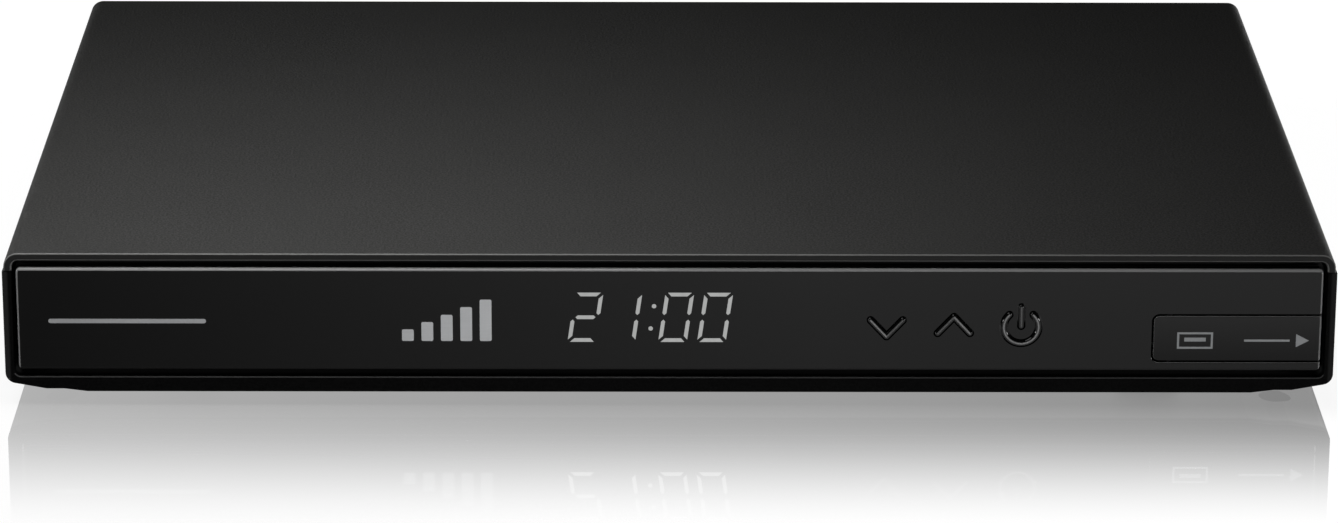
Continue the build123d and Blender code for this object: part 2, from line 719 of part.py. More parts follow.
# Gloss front panel: rounded edges, symbol openings, door notch, display pocket behind, pegs
notch_left = door_left - DOOR_GAP
notch_low = z_door_low - DOOR_GAP
notch_high = z_door_high + DOOR_GAP
display_left = x_display - DISPLAY_W / 2
peg_x = [
    PEG_SIDE - panel_half,
    (display_left - panel_half) / 2,
    display_left - PEG_DISPLAY_GAP,
    (x_power_key + flange_half + door_left) / 2,
    panel_half - PEG_SIDE,
]
peg_places = [(x, z_panel_high - PEG_INSET) for x in peg_x]
peg_places += [(x, z_panel_low + PEG_INSET) for x in peg_x[:-1]]
with BuildPart() as front_panel:
    with BuildSketch(facing_front(y_panel_back)):
        with Locations((0, z_panel_mid)):
            RectangleRounded(2 * panel_half, z_panel_high - z_panel_low, PANEL_CORNER_R)
    extrude(amount=PANEL_T)
    fillet(front_panel.faces().sort_by(Axis.Y)[0].edges(), PANEL_EDGE_R)
    with BuildSketch(facing_front(y_panel_back + OVERRUN)) as notch:
        with Locations(((notch_left + half_w) / 2, z_door_mid)):
            Rectangle(half_w - notch_left, notch_high - notch_low)
        fillet(notch.vertices().group_by(Axis.X)[0], DOOR_CORNER_R + DOOR_GAP)
    extrude(amount=PANEL_T + 2 * OVERRUN, mode=Mode.SUBTRACT)
    front_edges = front_panel.faces().sort_by(Axis.Y)[0].edges().filter_by(Axis.Z)
    fillet([edge for edge in front_edges if abs(edge.center().X - notch_left) < SLIP], DOOR_EDGE_R)
    symbol_openings = [
        chevron(y_panel_back + OVERRUN, key_places[0], False, KEY_ROOM),
        chevron(y_panel_back + OVERRUN, key_places[1], True, KEY_ROOM),
        standby_symbol(y_panel_back + OVERRUN, key_places[2], KEY_ROOM),
    ]
    for opening in symbol_openings:
        extrude(opening, amount=PANEL_T + 2 * OVERRUN, mode=Mode.SUBTRACT)
    with BuildSketch(facing_front(y_panel_back)):
        with Locations(display_place):
            Rectangle(DISPLAY_W + 2 * DISPLAY_ROOM, DISPLAY_H + 2 * DISPLAY_ROOM)
    extrude(amount=DISPLAY_POCKET_D, mode=Mode.SUBTRACT)
    extrude(discs(facing_front(y_panel_back), peg_places, PEG_R), amount=-(CARRIER_T + PEG_END))
    pin_bottom = notch_low - HINGE_PIN_END
    pin_length = notch_high - notch_low + 2 * HINGE_PIN_END
    pin_holes = discs(Plane.XY.offset(pin_bottom), [(x_hinge, y_hinge)], HINGE_PIN_R)
    extrude(pin_holes, amount=pin_length, mode=Mode.SUBTRACT)
save(front_panel, "front_panel")

# Hinged door: its right end continues the panel's rounded edge, its tail swings in behind the panel
with BuildPart() as usb_door:
    with BuildSketch(facing_front(y_panel_front + DOOR_T)) as door_face:
        with Locations(((door_left + panel_half) / 2, z_door_mid)):
            Rectangle(DOOR_W, DOOR_H)
        fillet(door_face.vertices().group_by(Axis.X)[0], DOOR_CORNER_R)
    extrude(amount=DOOR_T)
    door_rim = usb_door.faces().sort_by(Axis.Y)[0].edges()
    fillet(door_rim.sort_by(Axis.X)[-1], PANEL_EDGE_R)
    fillet(usb_door.faces().sort_by(Axis.Y)[0].edges().sort_by(Axis.X)[:-1], DOOR_EDGE_R)
    extrude(
        discs(Plane.XY.offset(z_door_low - OVERRUN), [(x_hinge, y_hinge)], HINGE_PIN_R + PIN_ROOM),
        amount=DOOR_H + 2 * OVERRUN,
        mode=Mode.SUBTRACT,
    )
    catch_right = panel_half - CATCH_INSET
    catch = upright_rectangle(
        y_panel_front + DOOR_T + CATCH_D,
        catch_right - CATCH_W,
        catch_right,
        z_door_mid - CATCH_H / 2,
        z_door_mid + CATCH_H / 2,
    )
    extrude(catch, amount=CATCH_D)
    catch_end = usb_door.faces().sort_by(Axis.Y)[-1].edges().filter_by(Axis.Z)
    chamfer(catch_end, CATCH_W / 3)
save(usb_door, "usb_door")

with BuildPart() as usb_door_pin:
    extrude(discs(Plane.XY.offset(pin_bottom), [(x_hinge, y_hinge)], HINGE_PIN_R), amount=pin_length)
save(usb_door_pin, "usb_door_pin")

# Keys: the symbol stands proud of the panel, the flange rests behind it, the stem meets the switch
symbols = {
    "channel_down_key": (key_places[0], lambda y, p: chevron(y, p, False)),
    "channel_up_key": (key_places[1], lambda y, p: chevron(y, p, True)),
    "power_key": (key_places[2], standby_symbol),
}
y_flange_front = y_panel_back + KEY_REST_GAP
y_flange_back = y_flange_front + KEY_FLANGE_T
for key_name, (key_place, symbol) in symbols.items():
    with BuildPart() as key:
        extrude(symbol(y_flange_front, key_place), amount=KEY_REST_GAP + PANEL_T + KEY_PROUD)
        fillet(key.faces().group_by(Axis.Y)[0].edges(), KEY_EDGE_R)
        with BuildSketch(facing_front(y_flange_back)):
            with Locations(key_place):
                RectangleRounded(2 * flange_half, 2 * flange_half, KEY_STEM_R)
        extrude(amount=KEY_FLANGE_T)
        stem_end = discs(facing_front(y_plunger_tip), [key_place], KEY_STEM_R)
        extrude(stem_end, amount=y_plunger_tip - y_flange_back)
    save(key, key_name)

# Tact switches on the front board, each with its own sliding plunger
y_switch_front = y_front_board - SWITCH_H
with BuildPart() as key_switches:
    with BuildSketch(facing_front(y_front_board)):
        with Locations(*key_places):
            Rectangle(SWITCH_W, SWITCH_W)
    extrude(amount=SWITCH_H)
    bores = discs(facing_front(y_switch_front + SWITCH_BORE_D), key_places, PLUNGER_R + PIN_ROOM)
    extrude(bores, amount=SWITCH_BORE_D + OVERRUN, mode=Mode.SUBTRACT)
save(key_switches, "key_switches")

for key_name, (key_place, symbol) in symbols.items():
    with BuildPart() as plunger:
        plunger_back = facing_front(y_switch_front + PLUNGER_IN)
        extrude(discs(plunger_back, [key_place], PLUNGER_R), amount=PLUNGER_IN + PLUNGER_OUT)
    save(plunger, key_name.replace("key", "switch_plunger"))

# Front carrier: a plate that closes the front, with a hollow pad that the panel lies on
pad_half = panel_half - PAD_INSET
pad_low = z_panel_low + PAD_INSET
pad_high = z_panel_high - PAD_INSET
with BuildPart() as front_carrier:
    carrier_outline = lower_section(y_carrier_back, z_ceiling - CARRIER_ROOM, WALL + CARRIER_ROOM)
    extrude(carrier_outline, amount=CARRIER_T)
    fillet(front_carrier.edges().filter_by(Axis.Y).group_by(Axis.Z)[-1], COVER_EDGE_R)
    pad = upright_rectangle(y_carrier_back, -pad_half, pad_half, pad_low, pad_high)
    extrude(pad, amount=y_carrier_back - y_panel_back)
    hollow = upright_rectangle(
        y_carrier_back, CARRIER_T - pad_half, pad_half - CARRIER_T, pad_low + CARRIER_T, pad_high - CARRIER_T
    )
    extrude(hollow, amount=y_carrier_back - y_pad_inside, mode=Mode.SUBTRACT)
    boss_length = y_front_board - y_pad_inside
    extrude(discs(facing_front(y_front_board), front_board_screw_places, SMALL_HEAD_R), amount=boss_length)
    front_pilots = discs(facing_front(y_front_board), front_board_screw_places, SMALL_SCREW_R + PIN_ROOM)
    extrude(front_pilots, amount=SMALL_BITE + SLIP, mode=Mode.SUBTRACT)
    with BuildSketch(facing_front(y_carrier_back)):
        with Locations(display_place):
            Rectangle(DISPLAY_W + 2 * DISPLAY_ROOM, DISPLAY_H + 2 * DISPLAY_ROOM)
        with Locations(*key_places):
            RectangleRounded(2 * (flange_half + SLIP), 2 * (flange_half + SLIP), KEY_STEM_R)
        with Locations(eye_place):
            Circle(EYE_LENS_R + EYE_ROOM)
        with Locations(*peg_places):
            Circle(PEG_R + PIN_ROOM)
        with Locations((x_usb, z_door_mid)):
            Rectangle(USB_W + 2 * PORT_ROOM, USB_H + 2 * PORT_ROOM)
        with Locations(((notch_left + x_hinge + TAIL_ROOM) / 2, z_door_mid)):
            Rectangle(x_hinge + TAIL_ROOM - notch_left, DOOR_H + 2 * DOOR_GAP)
        with Locations((catch_right - CATCH_W / 2, z_door_mid)):
            Rectangle(CATCH_W + 2 * CATCH_ROOM, CATCH_H + 2 * CATCH_ROOM)
    extrude(amount=y_carrier_back - y_panel_back, mode=Mode.SUBTRACT)
    with BuildSketch(Plane.XY.offset(z_small_boss)):
        with Locations((0, y_carrier_back + CARRIER_TAB_D / 2)):
            with GridLocations(2 * carrier_tab_x, 0, 2, 1):
                Rectangle(CARRIER_TAB_W, CARRIER_TAB_D)
    extrude(amount=CARRIER_T)
    tab_holes = discs(Plane.XY.offset(z_small_boss - OVERRUN), carrier_tab_places, SMALL_SCREW_R + SLIP)
    extrude(tab_holes, amount=CARRIER_T + 2 * OVERRUN, mode=Mode.SUBTRACT)
save(front_carrier, "front_carrier")

carrier_screws = screws(
    Plane.XY.offset(z_small_boss + CARRIER_T),
    carrier_tab_places,
    SMALL_SCREW_R,
    CARRIER_T + SMALL_BITE,
    SMALL_HEAD_R,
    SMALL_HEAD_H,
)
save(carrier_screws, "carrier_screws")

# Front board behind the carrier, its screws, and the remote-control eye
with BuildPart() as front_board:
    outline = upright_rectangle(
        y_front_board_back, front_board_left, front_board_right, front_board_low, front_board_high
    )
    extrude(outline, amount=FRONT_BOARD_T)
    behind_board = facing_front(y_front_board_back + OVERRUN)
    board_holes = discs(behind_board, front_board_screw_places, SMALL_SCREW_R + SLIP)
    extrude(board_holes, amount=FRONT_BOARD_T + 2 * OVERRUN, mode=Mode.SUBTRACT)
save(front_board, "front_board")

facing_rear = Plane(origin=(0, y_front_board_back, 0), x_dir=(-1, 0, 0), z_dir=(0, 1, 0))
front_board_screws = screws(
    facing_rear,
    [(-x, z) for x, z in front_board_screw_places],
    SMALL_SCREW_R,
    FRONT_BOARD_T + SMALL_BITE,
    SMALL_HEAD_R,
    SMALL_HEAD_H,
)
save(front_board_screws, "front_board_screws")

with BuildPart() as remote_eye:
    with BuildSketch(facing_front(y_front_board)):
        with Locations(eye_place):
            Rectangle(EYE_W, EYE_H)
    extrude(amount=EYE_T)
    lens_length = y_front_board - EYE_T - y_pad_inside
    extrude(discs(facing_front(y_front_board - EYE_T), [eye_place], EYE_LENS_R), amount=lens_length)
    fillet(remote_eye.faces().sort_by(Axis.Y)[0].edges(), lens_length / 2)
save(remote_eye, "remote_eye")

# Clock display: a housing with sunk segments, and the segments themselves
digit_centres = [x_display + p * PAIR_PITCH / 2 + d * DIGIT_PITCH / 2 for p in (-1, 1) for d in (-1, 1)]
colon_lean = tan(radians(DIGIT_SLANT)) * COLON_SPREAD / 2
colon_places = [
    (x_display + COLON_SHIFT + s * colon_lean, z_display + s * COLON_SPREAD / 2) for s in (-1, 1)
]
y_segment_back = y_display_front + SEGMENT_D
segment_shapes = [digit_segments(y_segment_back, x) for x in digit_centres]
segment_shapes.append(discs(facing_front(y_segment_back), colon_places, COLON_R))
with BuildPart() as clock_display:
    with BuildSketch(facing_front(y_front_board)):
        with Locations(display_place):
            Rectangle(DISPLAY_W, DISPLAY_H)
    extrude(amount=DISPLAY_T)
    for shape in segment_shapes:
        extrude(shape, amount=SEGMENT_D + OVERRUN, mode=Mode.SUBTRACT)
save(clock_display, "clock_display")

with BuildPart() as display_segments:
    for shape in segment_shapes:
        extrude(shape, amount=SEGMENT_D)
save(display_segments, "display_segments")

# Main board: wide at the rear, with an arm along the right side to the front socket
with BuildPart() as main_board:
    with BuildSketch(Plane.XY.offset(z_board_under)) as board_outline:
        with BuildLine():
            Polyline(
                (-board_half, y_board_back),
                (board_half, y_board_back),
                (board_half, y_arm_front),
                (board_half - ARM_W, y_arm_front),
                (board_half - ARM_W, y_board_front),
                (-board_half, y_board_front),
                close=True,
            )
        make_face()
        fillet(board_outline.vertices(), BOARD_CORNER_R)
    extrude(amount=BOARD_T)
    screw_holes = discs(Plane.XY.offset(z_board_under - OVERRUN), board_screw_places, SMALL_SCREW_R + SLIP)
    extrude(screw_holes, amount=BOARD_T + 2 * OVERRUN, mode=Mode.SUBTRACT)
save(main_board, "main_board")

main_board_screws = screws(
    Plane.XY.offset(z_board),
    board_screw_places,
    SMALL_SCREW_R,
    BOARD_T + SMALL_BITE,
    SMALL_HEAD_R,
    SMALL_HEAD_H,
)
save(main_board_screws, "main_board_screws")

# Front data socket: a sheet-metal shell with a tongue inside, its mouth level with the carrier's pad
usb_back = y_panel_back + USB_LENGTH
with BuildPart() as usb_socket_shell:
    with BuildSketch(facing_front(usb_back)):
        with Locations((x_usb, z_door_mid)):
            Rectangle(USB_W, USB_H)
    extrude(amount=USB_LENGTH)
    with BuildSketch(facing_front(usb_back - USB_SHEET)):
        with Locations((x_usb, z_door_mid)):
            Rectangle(USB_W - 2 * USB_SHEET, USB_H - 2 * USB_SHEET)
    extrude(amount=USB_LENGTH, mode=Mode.SUBTRACT)
save(usb_socket_shell, "usb_socket_shell")

with BuildPart() as usb_socket_tongue:
    tongue_top = z_door_mid + USB_H / 2 - USB_SHEET - USB_TONGUE_DROP
    tongue = upright_rectangle(
        usb_back - USB_SHEET,
        x_usb - USB_TONGUE_W / 2,
        x_usb + USB_TONGUE_W / 2,
        tongue_top - USB_TONGUE_T,
        tongue_top,
    )
    extrude(tongue, amount=USB_LENGTH - USB_SHEET - USB_TONGUE_SET)
save(usb_socket_tongue, "usb_socket_tongue")

# Rear plate: one sheet between the lips of the shells, with socket openings and two foot flanges
z_plate_high = z_ceiling - PLATE_ROOM
with BuildPart() as rear_plate:
    plate_outline = lower_section(y_plate_out, z_plate_high, WALL + PLATE_ROOM)
    extrude(plate_outline, amount=PLATE_T)
    fillet(rear_plate.edges().filter_by(Axis.Y).group_by(Axis.Z)[-1], COVER_EDGE_R)
    with BuildSketch(facing_front(y_plate_out + OVERRUN)):
        with Locations(*[(x, z_aerial) for x in aerial_x]):
            Circle(AERIAL_ROOT_R + PORT_ROOM)
        with Locations((port_x["audio"], z_audio)):
            Circle(AUDIO_R + PORT_ROOM)
        with Locations((port_x["lan"], z_lan)):
            Rectangle(LAN_W + 2 * PORT_ROOM, LAN_H + 2 * PORT_ROOM)
        with Locations((port_x["video"], z_video)):
            Rectangle(VIDEO_W + 2 * PORT_ROOM, VIDEO_H + 2 * PORT_ROOM)
        with Locations((port_x["power"], z_dc)):
            Circle(DC_COLLAR_R + PORT_ROOM)
        with Locations((port_x["vent"], z_aerial)):
            with GridLocations(PLATE_VENT_PITCH, 0, PLATE_VENT_COUNT, 1):
                SlotOverall(PLATE_VENT_LENGTH, PLATE_VENT_W, rotation=90)
    extrude(amount=PLATE_T + 2 * OVERRUN, mode=Mode.SUBTRACT)
    with BuildSketch(Plane.XY.offset(z_small_boss)):
        with Locations(*plate_flange_places):
            Rectangle(PLATE_FLANGE_W, PLATE_FLANGE_D)
    extrude(amount=PLATE_T)
    flange_holes = discs(Plane.XY.offset(z_small_boss - OVERRUN), plate_flange_places, SMALL_SCREW_R + SLIP)
    extrude(flange_holes, amount=PLATE_T + 2 * OVERRUN, mode=Mode.SUBTRACT)
save(rear_plate, "rear_plate")

rear_plate_screws = screws(
    Plane.XY.offset(z_small_boss + PLATE_T),
    plate_flange_places,
    SMALL_SCREW_R,
    PLATE_T + SMALL_BITE,
    SMALL_HEAD_R,
    SMALL_HEAD_H,
)
save(rear_plate_screws, "rear_plate_screws")

# Tuner: a tin can with a lapped lid, and two aerial connectors through the rear plate
with BuildPart() as tuner_can:
    with Locations((port_x["tuner"], y_board_back, z_board)):
        can_align = (Align.CENTER, Align.MAX, Align.MIN)
        Box(TUNER_W - 2 * TUNER_LID_T, TUNER_D - TUNER_LID_T, TUNER_H, align=can_align)
    with BuildSketch(Plane.XY.offset(z_board + TUNER_H - TUNER_LID_LAP)):
        with Locations((port_x["tuner"], y_board_back - TUNER_D / 2)):
            Rectangle(TUNER_W, TUNER_D)
    extrude(amount=TUNER_LID_LAP)
    fillet(tuner_can.faces().sort_by(Axis.Z)[-1].edges(), TUNER_LID_T / 2)
save(tuner_can, "tuner_can")

y_aerial_end = y_plate_out + AERIAL_REACH
y_aerial_root = y_plate_out + AERIAL_COLLAR_T
for aerial_name, x in zip(("aerial_loop_connector", "aerial_input_connector"), aerial_x):
    with BuildPart() as aerial:
        barrel = discs(facing_front(y_aerial_end), [(x, z_aerial)], AERIAL_R)
        extrude(barrel, amount=y_aerial_end - y_aerial_root)
        chamfer(aerial.faces().sort_by(Axis.Y)[-1].edges(), AERIAL_EDGE)
        root = discs(facing_front(y_aerial_root), [(x, z_aerial)], AERIAL_ROOT_R)
        extrude(root, amount=y_aerial_root - y_board_back)
        mouth = discs(facing_front(y_aerial_end), [(x, z_aerial)], AERIAL_MOUTH_R)
        extrude(mouth, amount=AERIAL_MOUTH_D, mode=Mode.SUBTRACT)
        contact = discs(facing_front(y_aerial_end), [(x, z_aerial)], AERIAL_CONTACT_R)
        extrude(contact, amount=AERIAL_CONTACT_D, mode=Mode.SUBTRACT)
    save(aerial, aerial_name)

with BuildPart() as aerial_nuts:
    with BuildSketch(facing_front(y_aerial_root)):
        with Locations(*[(x, z_aerial) for x in aerial_x]):
            RegularPolygon(AERIAL_COLLAR_R, 6)
            Circle(AERIAL_ROOT_R + PIN_ROOM, mode=Mode.SUBTRACT)
    extrude(amount=AERIAL_COLLAR_T)
save(aerial_nuts, "aerial_nuts")

# Digital audio jack: a moulded body, and a sleeve with the plug's bore through the plate
y_audio_body = y_plate_in - PLATE_ROOM
y_audio_end = y_plate_out + AUDIO_REACH
y_audio_core = y_audio_end - AUDIO_CUP_D
audio_place = [(port_x["audio"], z_audio)]
core_r = AUDIO_R - AUDIO_SLEEVE_T
with BuildPart() as audio_jack_body:
    with Locations((port_x["audio"], y_audio_body - AUDIO_BODY_D / 2, z_board)):
        Box(AUDIO_BODY_W, AUDIO_BODY_D, AUDIO_BODY_H, align=ON_BASE)
    fillet(audio_jack_body.edges().filter_by(Axis.Y).sort_by(Axis.Z)[-2:], AUDIO_SLEEVE_T)
    extrude(discs(facing_front(y_audio_core), audio_place, core_r), amount=y_audio_core - y_audio_body)
    bore = discs(facing_front(y_audio_core), audio_place, AUDIO_BORE_R)
    extrude(bore, amount=AUDIO_BORE_D, mode=Mode.SUBTRACT)
save(audio_jack_body, "audio_jack_body")

with BuildPart() as audio_jack_sleeve:
    sleeve_length = y_audio_end - y_audio_body
    extrude(discs(facing_front(y_audio_end), audio_place, AUDIO_R), amount=sleeve_length)
    extrude(discs(facing_front(y_audio_end), audio_place, core_r), amount=sleeve_length, mode=Mode.SUBTRACT)
save(audio_jack_sleeve, "audio_jack_sleeve")

# Network socket: a block with a stepped mouth, two lamps and eight contacts
y_lan_face = y_plate_out + LAN_PROUD
x_lan = port_x["lan"]
mouth_low = z_board + LAN_MOUTH_LIFT
mouth_high = mouth_low + LAN_MOUTH_H
lamp_places = [
    (x_lan + s * (LAN_W / 2 - LAN_LAMP_INSET - LAN_LAMP_W / 2), z_board + LAN_LAMP_INSET + LAN_LAMP_H / 2)
    for s in (-1, 1)
]
with BuildPart() as lan_socket:
    with Locations((x_lan, y_lan_face - LAN_D / 2, z_board)):
        Box(LAN_W, LAN_D, LAN_H, align=ON_BASE)
    with BuildSketch(facing_front(y_lan_face)):
        with Locations((x_lan, (mouth_low + mouth_high) / 2)):
            Rectangle(LAN_MOUTH_W, LAN_MOUTH_H)
        with Locations((x_lan, mouth_low - LAN_LATCH_H / 2)):
            Rectangle(LAN_LATCH_W, LAN_LATCH_H)
    extrude(amount=LAN_MOUTH_D, mode=Mode.SUBTRACT)
    with BuildSketch(facing_front(y_lan_face)):
        with Locations(*lamp_places):
            Rectangle(LAN_LAMP_W, LAN_LAMP_H)
    extrude(amount=LAN_LAMP_D, mode=Mode.SUBTRACT)
save(lan_socket, "lan_socket")

with BuildPart() as lan_lamps:
    with BuildSketch(facing_front(y_lan_face)):
        with Locations(*lamp_places):
            Rectangle(LAN_LAMP_W, LAN_LAMP_H)
    extrude(amount=LAN_LAMP_D)
save(lan_lamps, "lan_lamps")

with BuildPart() as lan_contacts:
    with BuildSketch(facing_front(y_lan_face - LAN_MOUTH_D + LAN_CONTACT_LENGTH)):
        with Locations((x_lan, mouth_high - LAN_CONTACT_W / 2)):
            with GridLocations(LAN_CONTACT_PITCH, 0, LAN_CONTACT_COUNT, 1):
                Rectangle(LAN_CONTACT_W, LAN_CONTACT_W)
    extrude(amount=LAN_CONTACT_LENGTH)
save(lan_contacts, "lan_contacts")

# Video socket: a shell with drawn-in lower corners, and its tongue
y_video_face = y_plate_out + VIDEO_PROUD
x_video = port_x["video"]
with BuildPart() as video_socket_shell:
    with BuildSketch(facing_front(y_video_face)) as video_outline:
        with Locations((x_video, z_video)):
            Rectangle(VIDEO_W, VIDEO_H)
        chamfer(video_outline.vertices().group_by(Axis.Y)[0], VIDEO_CHAMFER)
    extrude(amount=VIDEO_D)
    with BuildSketch(facing_front(y_video_face)) as video_mouth:
        with Locations((x_video, z_video)):
            Rectangle(VIDEO_W - 2 * VIDEO_SHEET, VIDEO_H - 2 * VIDEO_SHEET)
        chamfer(video_mouth.vertices().group_by(Axis.Y)[0], VIDEO_CHAMFER)
    extrude(amount=VIDEO_MOUTH_D, mode=Mode.SUBTRACT)
save(video_socket_shell, "video_socket_shell")

with BuildPart() as video_socket_tongue:
    with BuildSketch(facing_front(y_video_face - VIDEO_TONGUE_SET)):
        with Locations((x_video, z_video)):
            Rectangle(VIDEO_TONGUE_W, VIDEO_TONGUE_T)
    extrude(amount=VIDEO_MOUTH_D - VIDEO_TONGUE_SET)
save(video_socket_tongue, "video_socket_tongue")

# Power inlet: a moulded body with a round mouth, and the pin in its middle
x_dc = port_x["power"]
y_dc_body = y_plate_in - PLATE_ROOM
y_dc_face = y_plate_out + DC_PROUD
with BuildPart() as power_inlet:
    with Locations((x_dc, y_dc_body - DC_BODY_D / 2, z_board)):
        Box(DC_BODY_W, DC_BODY_D, DC_BODY_H, align=ON_BASE)
    fillet(power_inlet.edges().filter_by(Axis.Y).sort_by(Axis.Z)[-2:], DC_PIN_R)
    extrude(discs(facing_front(y_dc_face), [(x_dc, z_dc)], DC_COLLAR_R), amount=y_dc_face - y_dc_body)
    extrude(discs(facing_front(y_dc_face), [(x_dc, z_dc)], DC_BORE_R), amount=DC_BORE_D, mode=Mode.SUBTRACT)
save(power_inlet, "power_inlet")

with BuildPart() as power_inlet_pin:
    pin_face = facing_front(y_dc_face - DC_PIN_SET)
    extrude(discs(pin_face, [(x_dc, z_dc)], DC_PIN_R), amount=DC_BORE_D - DC_PIN_SET)
    fillet(power_inlet_pin.faces().sort_by(Axis.Y)[-1].edges(), DC_PIN_R / 2)
save(power_inlet_pin, "power_inlet_pin")

# Main chip with its pad and finned heat sink
chip_x, chip_y = on_board(CHIP_PLACE_SHARES)
with BuildPart() as processor:
    with Locations((chip_x, chip_y, z_board)):
        Box(CHIP_W, CHIP_W, CHIP_T, align=ON_BASE)
save(processor, "processor")

with BuildPart() as thermal_pad:
    with Locations((chip_x, chip_y, z_board + CHIP_T)):
        Box(PAD_W, PAD_W, PAD_T, align=ON_BASE)
save(thermal_pad, "thermal_pad")

z_sink = z_board + CHIP_T + PAD_T
with BuildPart() as heat_sink:
    with Locations((chip_x, chip_y, z_sink)):
        Box(SINK_W, SINK_W, SINK_BASE_T, align=ON_BASE)
    with BuildSketch(Plane.XY.offset(z_sink + SINK_BASE_T)):
        with Locations((chip_x, chip_y)):
            with GridLocations((SINK_W - SINK_FIN_T) / (SINK_FIN_COUNT - 1), 0, SINK_FIN_COUNT, 1):
                Rectangle(SINK_FIN_T, SINK_W)
    extrude(amount=SINK_FIN_H)
save(heat_sink, "heat_sink")

# Memory and storage chips
with BuildPart() as memory_chips:
    for place_shares in MEMORY_PLACE_SHARES:
        with Locations((*on_board(place_shares), z_board)):
            Box(MEMORY_W, MEMORY_D, MEMORY_T, align=ON_BASE)
save(memory_chips, "memory_chips")

with BuildPart() as flash_chip:
    with Locations((*on_board(FLASH_PLACE_SHARES), z_board)):
        Box(FLASH_W, FLASH_D, FLASH_T, align=ON_BASE)
save(flash_chip, "flash_chip")

# Capacitors with a crimp groove, power coils and the clock crystal
with BuildPart() as capacitors:
    extrude(
        discs(Plane.XY.offset(z_board), [on_board(p) for p in CAPACITOR_PLACE_SHARES], CAPACITOR_R),
        amount=CAPACITOR_H,
    )
    fillet(capacitors.faces().group_by(Axis.Z)[-1].edges(), CAPACITOR_EDGE_R)
    with BuildSketch(Plane.XY.offset(z_board + 2 * CAPACITOR_GROOVE)):
        with Locations(*[on_board(p) for p in CAPACITOR_PLACE_SHARES]):
            Circle(CAPACITOR_R + OVERRUN)
            Circle(CAPACITOR_R - CAPACITOR_GROOVE, mode=Mode.SUBTRACT)
    extrude(amount=CAPACITOR_GROOVE, mode=Mode.SUBTRACT)
save(capacitors, "capacitors")

with BuildPart() as power_coils:
    for place_shares in COIL_PLACE_SHARES:
        with Locations((*on_board(place_shares), z_board)):
            Box(COIL_W, COIL_W, COIL_H, align=ON_BASE)
    fillet(power_coils.edges().filter_by(Axis.Z), COIL_EDGE_R)
save(power_coils, "power_coils")

with BuildPart() as clock_crystal:
    with BuildSketch(Plane.XY.offset(z_board)):
        with Locations(on_board(CRYSTAL_PLACE_SHARES)):
            SlotOverall(CRYSTAL_W, CRYSTAL_D)
    extrude(amount=CRYSTAL_H)
    fillet(clock_crystal.faces().sort_by(Axis.Z)[-1].edges(), COIL_EDGE_R / 2)
save(clock_crystal, "clock_crystal")

# Ribbon cable from the back of the front board down to the main board, and its two headers
z_front_header = front_board_low + HEADER_LIFT
y_front_header = y_front_board_back + HEADER_H
y_main_header = y_board_front + HEADER_D
z_ribbon_low = z_board + HEADER_H / 2
y_ribbon_end = y_main_header - HEADER_D / 2
ribbon_run = y_ribbon_end - y_front_header
with BuildPart() as front_board_header:
    header_face = upright_rectangle(
        y_front_header,
        x_up_key - HEADER_W / 2,
        x_up_key + HEADER_W / 2,
        z_front_header - HEADER_D / 2,
        z_front_header + HEADER_D / 2,
    )
    extrude(header_face, amount=HEADER_H)
save(front_board_header, "front_board_header")

with BuildPart() as main_board_header:
    with Locations((x_up_key, y_main_header, z_board)):
        Box(HEADER_W, HEADER_D, HEADER_H, align=ON_BASE)
save(main_board_header, "main_board_header")

with BuildPart() as ribbon_cable:
    with BuildSketch(facing_right(x_up_key - RIBBON_W / 2)):
        with BuildLine():
            FilletPolyline(
                (y_front_header, z_front_header),
                (y_front_header + RIBBON_LEVEL_SHARE * ribbon_run, z_front_header),
                (y_ribbon_end - RIBBON_LEVEL_SHARE * ribbon_run, z_ribbon_low),
                (y_ribbon_end, z_ribbon_low),
                radius=RIBBON_BEND_SHARE * ribbon_run,
            )
        trace(line_width=RIBBON_T)
    extrude(amount=RIBBON_W)
save(ribbon_cable, "ribbon_cable")
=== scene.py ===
"""Looks of a slim multimedia receiver: finishes, lit clock, front marks, rear details and studio.

Lengths are metres in the part's own frame: X to the right of the front, Y to the back, Z up.
"""

import json
import math

import bmesh
import bpy
import numpy as np
from bpy.props import FloatProperty, FloatVectorProperty, PointerProperty, StringProperty
from mathutils import Matrix, Vector


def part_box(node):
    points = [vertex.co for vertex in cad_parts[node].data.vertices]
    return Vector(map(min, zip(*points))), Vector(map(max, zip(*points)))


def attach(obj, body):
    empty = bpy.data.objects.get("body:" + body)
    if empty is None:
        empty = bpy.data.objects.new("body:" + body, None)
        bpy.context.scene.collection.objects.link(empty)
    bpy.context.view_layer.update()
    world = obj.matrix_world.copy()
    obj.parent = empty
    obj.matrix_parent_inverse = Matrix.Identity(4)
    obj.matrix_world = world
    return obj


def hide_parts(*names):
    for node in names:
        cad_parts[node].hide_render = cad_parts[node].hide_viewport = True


bl_info = {
    "name": "Multimedia receiver looks",
    "version": (1, 0, 0),
    "blender": (4, 5, 0),
    "location": "View3D > Sidebar > Receiver",
    "description": "Finishes, lit clock, front marks, rear details and studio of a slim receiver",
    "category": "Object",
}

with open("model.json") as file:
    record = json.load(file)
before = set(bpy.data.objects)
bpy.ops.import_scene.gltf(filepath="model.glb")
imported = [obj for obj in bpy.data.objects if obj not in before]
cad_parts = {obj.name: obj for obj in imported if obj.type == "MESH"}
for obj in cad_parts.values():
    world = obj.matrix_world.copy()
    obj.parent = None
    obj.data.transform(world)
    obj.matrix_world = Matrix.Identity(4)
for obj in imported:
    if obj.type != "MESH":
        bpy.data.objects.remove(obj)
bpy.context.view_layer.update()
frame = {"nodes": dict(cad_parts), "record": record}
MM = 0.001

